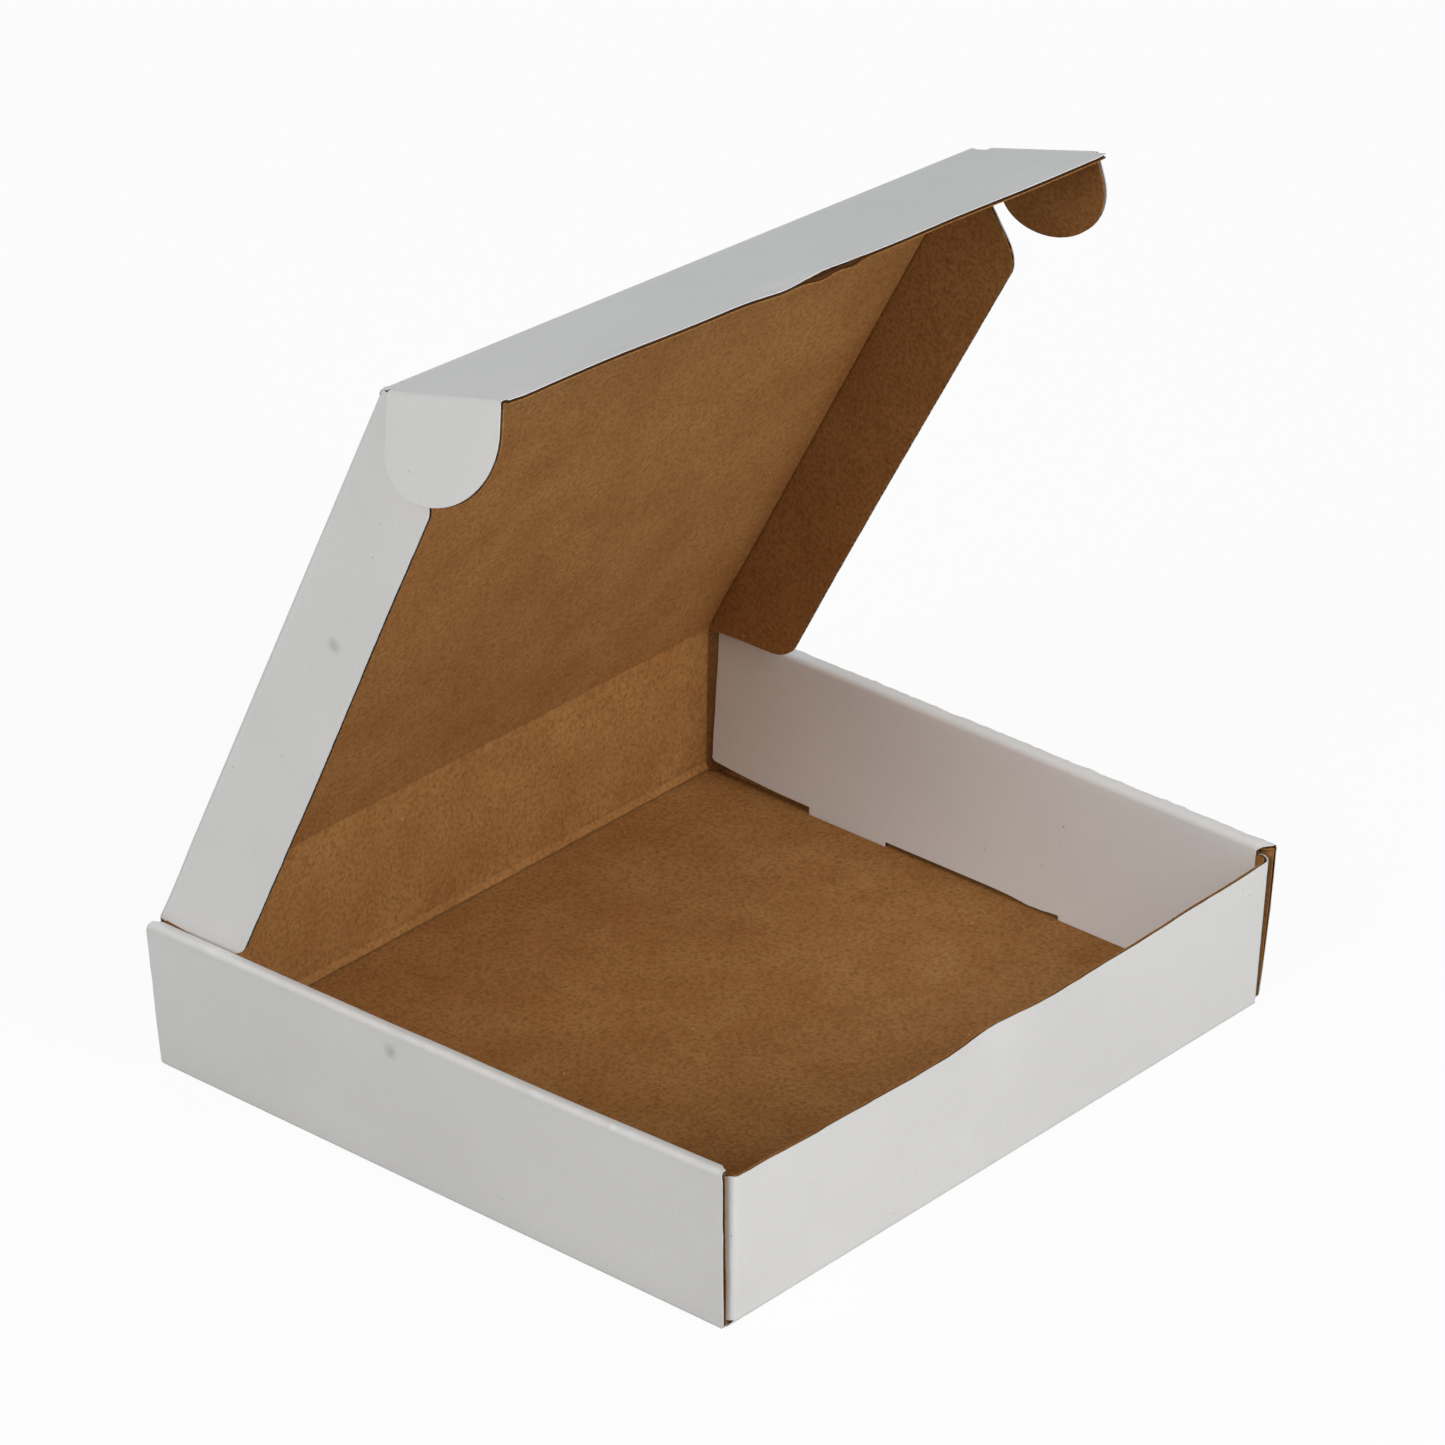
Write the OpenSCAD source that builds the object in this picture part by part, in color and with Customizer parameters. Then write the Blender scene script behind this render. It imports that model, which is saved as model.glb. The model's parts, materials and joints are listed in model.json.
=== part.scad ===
// Corrugated mailer box, shown with its lid half open.
// One sheet of thin board, white outside and brown kraft inside, folded up without glue.
// Millimetres, +Z up. The origin is the centre of the bottom face, and the front wall faces -Y.

/* [Board] */
// Thickness of the corrugated board
board = 1.5; // [1.2:0.1:2.0]
// Inner radius of a fold that stays folded
fold_in = 0.4; // [0.3:0.1:0.8]
// Gap between two layers of a side wall
layer_gap = 0.2; // [0.1:0.05:0.4]
// Gap between the round end of a flap and the panel that it hinges on
crease_gap = 0.2; // [0.15:0.05:0.4]

/* [Tray] */
// Outside width of the tray at its bottom
tray_w = 250; // [200:1:320]
// Outside depth of the tray
tray_d = 220; // [190:1:280]
// Height of the side walls
side_h = 53; // [46:0.5:70]
// Angle at which the side walls lean outwards
side_lean = 2.8; // [1.5:0.1:3.5]
// Room between the closed lid and the front wall's top edge
lid_room = 0.4; // [0.2:0.1:1.5]

/* [Roll-over side walls] */
// Gap from the inner panel's rear edge to the rear wall at the top
inner_rear_top = 7.2; // [4:0.1:12]
// Gap from the inner panel's rear edge to the rear wall at the bottom
inner_rear_low = 4.9; // [3:0.1:10]
// Gap from the inner panel's front edge to the front wall
inner_front = 4.0; // [3:0.1:10]
// Corner radius at the foot of the inner panel
inner_corner = 3; // [1:0.5:6]
// Gap between the inner panel's foot and the floor
inner_lift = 1.0; // [0.5:0.1:2]
// Width of a locking tab
tab_w = 31; // [15:1:40]
// Distance between the middles of the two tabs of a wall
tab_pitch = 100; // [60:1:120]
// Room around a tab in its floor slot
slot_room = 0.3; // [0.2:0.05:0.6]
// How far a tab stops short of the underside
tab_short = 0.2; // [0.1:0.05:0.6]

/* [Dust flaps] */
// Length of a dust flap from its fold
dust_len = 70; // [40:1:80]
// Gap between a dust flap and the floor
dust_lift = 0.5; // [0.3:0.1:2]
// Gap between a dust flap and the roll-over strip
dust_drop = 1.0; // [0.6:0.1:3]
// Corner radius of a dust flap's free end
dust_corner = 8; // [2:0.5:15]

/* [Lid] */
// Angle from closed at which the lid stands
lid_open = 64.5; // [60:0.5:80]
// Room between the lid's side flaps and the top of the side walls
lid_side_room = 0.3; // [0.2:0.05:1]
// Room between the tucked front flap and the front wall
tuck_room = 0.5; // [0.3:0.1:1.5]

/* [Front flap] */
// Length of the front flap
front_len = 49.5; // [49:0.5:60]
// Fold of the front flap from flat
front_fold = 49.5; // [20:0.5:85]
// Length of the clipped corner at each end of the free edge
front_clip_x = 5; // [2:0.5:10]
// Depth of the clipped corner
front_clip_y = 0.8; // [0.4:0.1:1.5]

/* [Side flaps] */
// Depth of a side flap
side_flap_h = 30; // [20:0.5:34]
// Fold of the side flaps from flat
side_fold = 93; // [93:0.5:97]
// Distance from the hinge to the rear end of a side flap
side_rear = 1.7; // [1.5:0.1:4]
// Slant of a side flap's rear end from square
side_rear_slant = 25; // [22:1:40]
// Slant of a side flap's front end from square
side_front_slant = 29; // [26:1:40]
// Room between a side flap and the front flap's crease
side_front_room = 0.6; // [0.3:0.1:2]
// Corner radius of a side flap
side_corner = 6; // [2:0.5:10]

/* [Ears] */
// Depth of an ear from its crease
ear_depth = 28.5; // [25:0.5:32]
// Distance from the lid's front crease to an ear's rear edge
ear_rear = 5.5; // [5:0.5:9]
// Distance from the front flap's free edge to an ear's front edge
ear_front = 2; // [1:0.5:5]
// Radius of an ear's rear corner
ear_rear_r = 13; // [8:0.5:16]
// Radius of an ear's front corner
ear_front_r = 22; // [12:0.5:24]
// Gap between an ear and the side flap beside it
ear_gap = 0.3; // [0.2:0.05:1]
// Fold of the left ear from flat
left_ear_fold = 72; // [45:1:90]
// Fold of the right ear from flat
right_ear_fold = 85; // [45:1:90]

/* [Hidden] */
$fn = 48;
white = [0.87, 0.87, 0.86];

// The board bent round a fold, and the half sizes of the tray
fold_out = fold_in + board;
half_w = tray_w / 2;
half_d = tray_d / 2;

// A side wall turns about the centre of its bottom fold. Its own frame has that centre as origin,
// with x outwards and z up along the wall.
pivot_x = half_w - fold_out;
pivot_z = fold_out;
wall_top = side_h - 2 * fold_out;
wall_t = 3 * board + 2 * layer_gap;
strip_flat = wall_t - 2 * fold_out;
dust_face = fold_in - layer_gap;
wall_end = dust_face - fold_out;
floor_z = board - fold_out;
inner_foot = floor_z + inner_lift;
inner_face = -strip_flat - fold_out;

// World x, at height z, of a line that runs up a leaning side wall at its own x
function lean_x(x, z) = pivot_x + x * cos(side_lean)
    + (z - pivot_z + x * sin(side_lean)) * tan(side_lean);

// The lid's hinge line, and the heights that let the closed lid lie level with the side walls
hinge_y = half_d - board / 2;
hinge_z = side_h - board / 2;
end_gap = board / 2 + crease_gap;
rear_h = hinge_z - end_gap;
front_h = side_h - board - lid_room;

// The lid reaches to the front flap's crease, and the flap tucks in behind the front wall
lid_len = tray_d - 2 * board - tuck_room;
lid_half = lean_x(inner_face, side_h) - lid_side_room;
side_axis = lid_half - board / 2;
ear_axis = lid_half + ear_gap + board / 2;

// An ear's corners have the radii asked for, or as much of them as its width has room for
ear_len = front_len - ear_front - ear_rear;
ear_round = min(1, (ear_len - board) / (ear_rear_r + ear_front_r));

// An outline whose corners are rounded with the radius that goes with each point
function unit(v) = v / norm(v);
function corner_arc(a, p, b, r) =
    let (u = unit(a - p), v = unit(b - p))
    let (half = acos(u * v) / 2)
    let (c = p + unit(u + v) * r / sin(half))
    let (from = p + u * r / tan(half) - c, to = p + v * r / tan(half) - c)
    let (turn = 180 - 2 * half, sgn = sign(from.x * to.y - from.y * to.x))
    let (steps = ceil($fn * turn / 360))
    [for (i = [0:steps])
        let (s = sgn * turn * i / steps)
        c + [from.x * cos(s) - from.y * sin(s), from.x * sin(s) + from.y * cos(s)]];
function rounded(pts, radii) =
    let (n = len(pts))
    [for (i = [0:n - 1])
        each radii[i] == 0 ? [pts[i]]
            : corner_arc(pts[(i + n - 1) % n], pts[i], pts[(i + 1) % n], radii[i])];

// A bend of the board about the Z axis, from one angle through another
module bend(length, start, angle) {
    rotate([0, 0, start])
        rotate_extrude(angle = angle)
            translate([fold_in, 0])
                square([board, length]);
}

// The same bend about a line along X or along Y, centred on it
module bend_x(length, start, angle) {
    rotate([90, 0, 90])
        translate([0, 0, -length / 2])
            bend(length, start, angle);
}

module bend_y(length, start, angle) {
    rotate([90, 0, 0])
        translate([0, 0, -length / 2])
            bend(length, start, angle);
}

// A flat panel of board from its outline, half its thickness each side of the outline's plane
module panel(outline) {
    linear_extrude(height = board, center = true)
        polygon(outline);
}

// The round end of a flap on its hinge line, along Y from one place to another
module nose(from, to) {
    translate([0, from, 0])
        rotate([-90, 0, 0])
            cylinder(d = board, h = to - from);
}

// Front or rear wall as wide as the leaning side walls allow, up to a given height
module end_wall(top) {
    low = lean_x(wall_end, fold_out);
    high = lean_x(wall_end, top);
    rotate([90, 0, 0])
        linear_extrude(height = board)
            polygon([[-low, fold_out], [low, fold_out], [high, top], [-high, top]]);
}

// The bottom with its slots, and the front and rear walls on their folds
module floor_and_ends() {
    slot_in = pivot_x + inner_face - slot_room;
    difference() {
        translate([-pivot_x, -half_d + fold_out, 0])
            cube([2 * pivot_x, tray_d - 2 * fold_out, board]);
        for (side = [-1, 1], end = [-1, 1])
            translate([side * (slot_in + board / 2 + slot_room), end * tab_pitch / 2, board / 2])
                cube([board + 2 * slot_room, tab_w + 2 * slot_room, 2 * board], center = true);
    }
    fold_len = 2 * lean_x(wall_end, fold_out);
    translate([0, -half_d + fold_out, fold_out])
        bend_x(fold_len, 180, 90);
    translate([0, half_d - fold_out, fold_out])
        bend_x(fold_len, 270, 90);
    translate([0, -half_d + board, 0])
        end_wall(front_h);
    translate([0, half_d, 0])
        end_wall(rear_h);
}

// Inner panel of a side wall with its two tabs, as an outline over y and z
function inner_outline() =
    let (rear = half_d - board, front = -half_d + board + inner_front)
    rounded([[rear - inner_rear_low, inner_foot], [rear - inner_rear_top, wall_top],
             [front, wall_top], [front, inner_foot]],
            [inner_corner, 0, 0, inner_corner]);

module inner_panel() {
    translate([inner_face, 0, 0])
        rotate([90, 0, 90])
            linear_extrude(height = board) {
                polygon(inner_outline());
                for (end = [-1, 1])
                    translate([end * tab_pitch / 2 - tab_w / 2, floor_z - board + tab_short])
                        square([tab_w, inner_foot + inner_corner - floor_z + board - tab_short]);
            }
}

// Dust flap of the front wall (end -1) or the rear wall (end 1), on its upright fold
module dust_flap(end) {
    low = floor_z + dust_lift;
    high = wall_top - dust_drop;
    fold_y = half_d - fold_out;
    translate([wall_end, end * fold_y, low])
        bend(high - low, end < 0 ? 270 : 0, 90);
    translate([dust_face - board, 0, 0])
        rotate([90, 0, 90])
            linear_extrude(height = board)
                polygon(rounded([[end * fold_y, low], [end * (fold_y - dust_len), low],
                                 [end * (fold_y - dust_len), high], [end * fold_y, high]],
                                [0, dust_corner, dust_corner, 0]));
}

// Roll-over side wall on the right: outer panel, top strip, inner panel and the trapped dust flaps
module side_wall() {
    translate([pivot_x, 0, pivot_z]) {
        bend_y(tray_d - 2 * fold_out, 270, 90 - side_lean);
        rotate([0, side_lean, 0]) {
            translate([fold_in, -half_d, 0])
                cube([board, tray_d, wall_top]);
            translate([0, 0, wall_top])
                bend_y(tray_d, 0, 90);
            translate([-strip_flat, -half_d, wall_top + fold_in])
                cube([strip_flat, tray_d, board]);
            translate([-strip_flat, 0, wall_top])
                bend_y(tray_d, 90, 90);
            inner_panel();
            for (end = [-1, 1])
                dust_flap(end);
        }
    }
}

module tray() {
    color(white) {
        floor_and_ends();
        side_wall();
        mirror([1, 0, 0])
            side_wall();
    }
}

// Places what it holds in the lid's frame: x across, y along the lid from its hinge, z inwards
module on_lid() {
    translate([0, hinge_y, hinge_z])
        rotate([180 - lid_open, 0, 0])
            children();
}

// Places what it holds in the front flap's frame: y along the flap from its crease, z inwards
module on_front_flap() {
    on_lid()
        translate([0, lid_len, 0])
            rotate([front_fold, 0, 0])
                children();
}

// A panel that hinges on a line along X: a round end on the line, then the flat board
module hinged_across(half, outline) {
    translate([-half, 0, 0])
        rotate([0, 90, 0])
            cylinder(d = board, h = 2 * half);
    panel(outline);
}

module lid() {
    half = side_axis - end_gap;
    reach = lid_len - end_gap;
    color(white)
        on_lid()
            hinged_across(half, [[-half, 0], [half, 0], [half, reach], [-half, reach]]);
}

module front_flap() {
    half = ear_axis - end_gap;
    clip = half - front_clip_x;
    color(white)
        on_front_flap()
            hinged_across(half, [[-half, 0], [half, 0], [half, front_len - front_clip_y],
                                 [clip, front_len], [-clip, front_len],
                                 [-half, front_len - front_clip_y]]);
}

// Side flap on the right, with x along its depth from the crease
module side_flap() {
    rear = side_rear;
    front = lid_len - board / 2 - side_front_room;
    on_lid()
        translate([side_axis, 0, 0])
            rotate([0, -side_fold, 0]) {
                nose(rear, front);
                panel(rounded([[0, rear], [side_flap_h, rear + side_flap_h * tan(side_rear_slant)],
                               [side_flap_h, front - side_flap_h * tan(side_front_slant)],
                               [0, front]],
                              [0, side_corner, side_corner, 0]));
            }
}

module right_side_flap() {
    color(white)
        side_flap();
}

module left_side_flap() {
    color(white)
        mirror([1, 0, 0])
            side_flap();
}

// Ear on the right, folded inwards from flat by an angle, with x along its depth
module ear(fold) {
    front = ear_rear + ear_len;
    on_front_flap()
        translate([ear_axis, 0, 0])
            rotate([0, -fold, 0]) {
                nose(ear_rear, front);
                panel(rounded([[0, ear_rear], [ear_depth, ear_rear], [ear_depth, front], [0, front]],
                              [0, ear_round * ear_rear_r, ear_round * ear_front_r, 0]));
            }
}

module right_ear() {
    color(white)
        ear(right_ear_fold);
}

module left_ear() {
    color(white)
        mirror([1, 0, 0])
            ear(left_ear_fold);
}

tray();
lid();
front_flap();
left_side_flap();
right_side_flap();
left_ear();
right_ear();
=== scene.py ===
"""Looks of a corrugated mailer box that stands with its lid half open.

Every piece of board is the real sandwich: a white liner, a fluted medium and a kraft liner. It is
laid out flat, as in the die-cut blank, and a fold path or a crease puts it in place.
Lengths are millimetres, and become metres where a mesh is written.
"""

import json
import logging
import math
from dataclasses import dataclass, field, replace
from enum import IntEnum
from typing import Callable, Sequence, TypeVar

import bmesh
import bpy
from mathutils import Matrix, Vector, noise

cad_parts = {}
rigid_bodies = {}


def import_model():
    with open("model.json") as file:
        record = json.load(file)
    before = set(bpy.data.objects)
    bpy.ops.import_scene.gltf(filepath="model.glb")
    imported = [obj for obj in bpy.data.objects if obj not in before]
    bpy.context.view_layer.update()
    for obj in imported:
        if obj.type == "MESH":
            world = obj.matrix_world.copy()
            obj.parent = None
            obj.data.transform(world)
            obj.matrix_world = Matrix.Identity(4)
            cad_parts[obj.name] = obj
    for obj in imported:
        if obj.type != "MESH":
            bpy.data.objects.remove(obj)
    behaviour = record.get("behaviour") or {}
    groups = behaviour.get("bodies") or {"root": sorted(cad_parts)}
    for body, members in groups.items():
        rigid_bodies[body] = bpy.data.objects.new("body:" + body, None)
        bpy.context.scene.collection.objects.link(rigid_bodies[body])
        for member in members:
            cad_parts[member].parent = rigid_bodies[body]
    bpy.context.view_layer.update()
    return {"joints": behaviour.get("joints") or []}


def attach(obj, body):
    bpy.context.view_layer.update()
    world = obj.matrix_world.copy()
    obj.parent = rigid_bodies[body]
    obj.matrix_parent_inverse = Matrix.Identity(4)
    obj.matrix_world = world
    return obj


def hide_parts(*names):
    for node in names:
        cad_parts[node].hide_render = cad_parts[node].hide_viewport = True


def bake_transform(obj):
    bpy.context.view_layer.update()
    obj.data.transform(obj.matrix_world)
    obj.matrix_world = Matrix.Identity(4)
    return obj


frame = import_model()

LOG = logging.getLogger("mailer_box")
MM = 0.001
BLANK_MAP = "blank"
SHARP_ANGLE = math.radians(38)
# How far apart the noise of two seeds lies
SEED_STEP = 7.31
# The front and the rear end of the box, as the sign of y
ENDS = (-1, 1)
X_AXIS = Vector((1, 0, 0))
Y_AXIS = Vector((0, 1, 0))
Z_AXIS = Vector((0, 0, 1))


class Ply(IntEnum):
    """The papers of the board, numbered as a piece's material slots."""

    WHITE = 0
    KRAFT = 1
    MEDIUM = 2


class Side(IntEnum):
    """The two sides of the box, as the sign of x."""

    LEFT = -1
    RIGHT = 1


def lerp(a: float, b: float, t: float) -> float:
    """The value a share t of the way from a to b."""
    return a + (b - a) * t


def clamp(t: float) -> float:
    """The value held between 0 and 1."""
    return min(1.0, max(0.0, t))


def smooth(t: float) -> float:
    """A smooth step from 0 to 1 as t goes from 0 to 1."""
    t = clamp(t)
    return t * t * (3 - 2 * t)


def bell(x: float, middle: float, width: float) -> float:
    """A bump of height 1 round a middle, that dies away over a width."""
    return math.exp(-(((x - middle) / width) ** 2))


def round_in(radius: float, past: float) -> float:
    """How far a round corner has come in, at a distance past the start of its curve."""
    past = max(0.0, past)
    return radius - math.sqrt(max(0.0, radius ** 2 - past ** 2))


def ripple(seed: float, u: float, v: float = 0.0) -> float:
    """Smooth noise from -1 to 1 in one or two directions, the same on each run."""
    return noise.noise(Vector((u, v, SEED_STEP * seed)))


@dataclass(frozen=True)
class Uneven:
    """A smooth unevenness: its height and its width in millimetres, and the seed of its noise."""

    height: float
    width: float
    seed: int

    def at(self, place: float, shift: int = 0) -> float:
        """Its height at a place, where a shift gives another pattern of the same kind."""
        return self.height * ripple(self.seed + shift, place / self.width)


# Unevenness of the bottom's crease beads, of raw edges, of the top folds and of the panels
BEAD_WANDER = (Uneven(0.28, 9.0, 11), Uneven(0.16, 2.5, 12))
FRONT_EDGE_FINE = Uneven(0.14, 3.0, 21)
FRONT_EDGE_WAVE = Uneven(0.18, 14.0, 24)
FRONT_WALL_WAVE = Uneven(0.35, 18.0, 31)
SIDE_WALL_ENDS = (Uneven(0.2, 2.6, 51), Uneven(0.15, 9.0, 55))
TOP_FOLD_CRUSH = (Uneven(0.3, 6.0, 61), Uneven(0.26, 2.0, 62))
TOP_STRIP_SAG = Uneven(0.18, 25.0, 66)
FRONT_FLAP_EDGE = Uneven(0.12, 16.0, 80)
FRONT_FLAP_WAVE = Uneven(0.5, 40.0, 85)
SIDE_FLAP_EDGE = Uneven(0.12, 3.5, 91)
SIDE_FLAP_ENDS = Uneven(0.15, 2.5, 95)
SIDE_FLAP_BOW = Uneven(0.5, 60.0, 97)
EAR_EDGE = Uneven(0.1, 2.5, 101)


def spaced(start: float, stop: float, step: float) -> list[float]:
    """Grid lines from start to stop, no further apart than a step."""
    count = max(1, math.ceil(abs(stop - start) / step))
    return [lerp(start, stop, i / count) for i in range(count + 1)]


Value = TypeVar("Value")


def pick(pair: tuple[Value, Value], side: Side) -> Value:
    """The left or the right value of a pair."""
    return pair[0] if side is Side.LEFT else pair[1]


def joined(*groups: Sequence[float]) -> list[float]:
    """Several groups of grid lines as one sorted list, without doubles."""
    return sorted({round(line, 4) for group in groups for line in group})


@dataclass(frozen=True)
class Board:
    """The corrugated board: two paper liners glued to a fluted medium."""

    thickness: float = 1.5
    liner: float = 0.26
    medium: float = 0.22
    pitch: float = 2.4
    fold_in: float = 0.4
    flute_cells: int = 8

    @property
    def half(self) -> float:
        """Half the thickness."""
        return self.thickness / 2

    @property
    def fold_out(self) -> float:
        """Outer radius of a fold."""
        return self.fold_in + self.thickness

    @property
    def fold_mid(self) -> float:
        """Radius of a fold at the middle of the board."""
        return self.fold_in + self.half

    @property
    def fold_length(self) -> float:
        """Length of a square fold along the middle of the board."""
        return self.fold_mid * math.pi / 2

    @property
    def flute_step(self) -> float:
        """Spacing of grid lines that follow the flutes."""
        return self.pitch / self.flute_cells

    def band(self, ply: Ply) -> tuple[float, float]:
        """Lowest and highest surface of a ply, outwards from the middle of the board."""
        if ply is Ply.WHITE:
            return self.half - self.liner, self.half
        if ply is Ply.KRAFT:
            return -self.half, self.liner - self.half
        return -self.medium / 2, self.medium / 2

    def wave(self, across: float) -> float:
        """Height of the medium's wave at a place across the flutes."""
        crest = self.half - self.liner - self.medium / 2
        return crest * math.sin(2 * math.pi * across / self.pitch)


BOARD = Board()
# How far the rear hinge line has settled at its left end, and where and over what width it starts to
REAR_SAG = 2.0
SAG_START = 40.0
SAG_WIDTH = 80.0
Place = Callable[[float, float, float], Vector]
Shape = Callable[[float, float, Ply], tuple[float, float]]
# A rectangle of the blank: along the flutes from and to, then across them from and to
Patch = tuple[float, float, float, float]


def as_cut(along: float, across: float, ply: Ply) -> tuple[float, float]:
    """The outline of a sheet whose grid lines already are its edges."""
    return along, across


@dataclass(frozen=True)
class Run:
    """A stretch of a fold path: its length and the angle it turns to the left, in degrees."""

    length: float
    turn: float = 0.0


SQUARE_BEND = Run(BOARD.fold_length, 90)


@dataclass(frozen=True)
class FoldPath:
    """The middle of the board seen on edge, from one end to the other, with its outside on the right.

    Attributes:
        start: Where the path starts.
        heading: Direction in which it starts, in degrees from the first axis.
        runs: The stretches, straight or bent.
    """

    start: tuple[float, float]
    heading: float
    runs: tuple[Run, ...]

    def ends(self) -> list[float]:
        """Distance along the path at the end of each run."""
        total, found = 0.0, []
        for run in self.runs:
            total += run.length
            found.append(total)
        return found

    def at(self, distance: float, out: float) -> tuple[float, float]:
        """A place on the path.

        Args:
            distance: Distance along the middle of the board. Past the end the path runs straight on.
            out: Height over the middle, towards the outside.

        Returns:
            The place on the two axes.
        """
        p, q = self.start
        angle = math.radians(self.heading)
        for i, run in enumerate(self.runs):
            last = i == len(self.runs) - 1
            step = distance if last else min(distance, run.length)
            turn = math.radians(run.turn)
            if turn:
                radius = run.length / turn
                centre = (p - radius * math.sin(angle), q + radius * math.cos(angle))
                angle += turn * step / run.length
                p = centre[0] + radius * math.sin(angle)
                q = centre[1] - radius * math.cos(angle)
            else:
                p += step * math.cos(angle)
                q += step * math.sin(angle)
            distance -= step
            if distance <= 0 and not last:
                break
        return p + out * math.sin(angle), q - out * math.cos(angle)

    def lines(self, step: float, bend_cells: int = 6) -> list[float]:
        """Grid lines along the path, closer together in its bends."""
        found, begin = [], 0.0
        for run, end in zip(self.runs, self.ends()):
            found.append(spaced(begin, end, run.length / bend_cells if run.turn else step))
            begin = end
        return joined(*found)


@dataclass(frozen=True)
class Hinge:
    """A joint of the frame, in millimetres, with its highest limit in degrees."""

    parent: str
    child: str
    place: Vector
    axis: Vector
    highest: float

    @classmethod
    def named(cls, name: str) -> "Hinge":
        """The frame's joint of that name."""
        row = next(j for j in frame["joints"] if j["name"] == name)
        place = Vector(row["pos_m"]) / MM
        axis = Vector(row["axis"]).normalized()
        return cls(row["parent"], row["child"], place, axis, max(row["range_deg"]))


@dataclass(frozen=True)
class Crease:
    """A crease on a hinge line: the board turns from one direction towards another.

    Attributes:
        hinge: The joint that it lies on.
        line: Direction along the crease.
        ahead: Direction in which the parent panel runs into the crease.
        inward: Direction towards which the child panel folds.
        fold: Angle of the fold in degrees, at a place along the crease.
        reach: Half the width over which the board turns.
        margin: How far the crease's own strip runs on, flat, at each side.
        turn_cells: Grid cells in each half of the turn.
        wide_step: Widest grid cell in a wide strip's margin.
        wide_gap: Width of the grid cell where a wide strip narrows.
    """

    hinge: Hinge
    line: Vector
    ahead: Vector
    inward: Vector
    fold: Callable[[float], float]
    reach: float = 1.2
    margin: float = 0.6
    turn_cells: int = 5
    wide_step: float = 1.0
    wide_gap: float = 0.05

    @property
    def half(self) -> float:
        """Half the width of the crease's strip."""
        return self.reach + self.margin

    def point(self, along: float, over: float, out: float) -> Vector:
        """A place on the strip or on the child panel.

        Args:
            along: Distance along the crease from the hinge's own place.
            over: Distance across the crease, below zero on the parent panel.
            out: Height over the middle of the board, towards the outside.

        Returns:
            The place in the frame, before the lid's own warp.
        """
        share = smooth((over + self.reach) / (2 * self.reach))
        turn = math.radians(self.fold(along)) * share
        ahead = math.cos(turn) * self.ahead + math.sin(turn) * self.inward
        outward = math.sin(turn) * self.ahead - math.cos(turn) * self.inward
        return self.hinge.place + along * self.line + over * ahead + out * outward

    def cells(self) -> list[float]:
        """Grid lines across the strip, with a pair where a wide strip's own margin starts."""
        turn = spaced(-self.reach, self.reach, self.reach / self.turn_cells)
        rows = joined(turn, [-self.half, self.half])
        if self.half > CREASE_HALF:
            wide = spaced(CREASE_HALF + self.wide_gap, self.half, self.wide_step)
            rows = joined(rows, [-CREASE_HALF, CREASE_HALF], wide, [-row for row in wide])
        return rows


# Half the width of an ordinary crease's strip
CREASE_HALF = Crease.reach + Crease.margin


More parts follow.
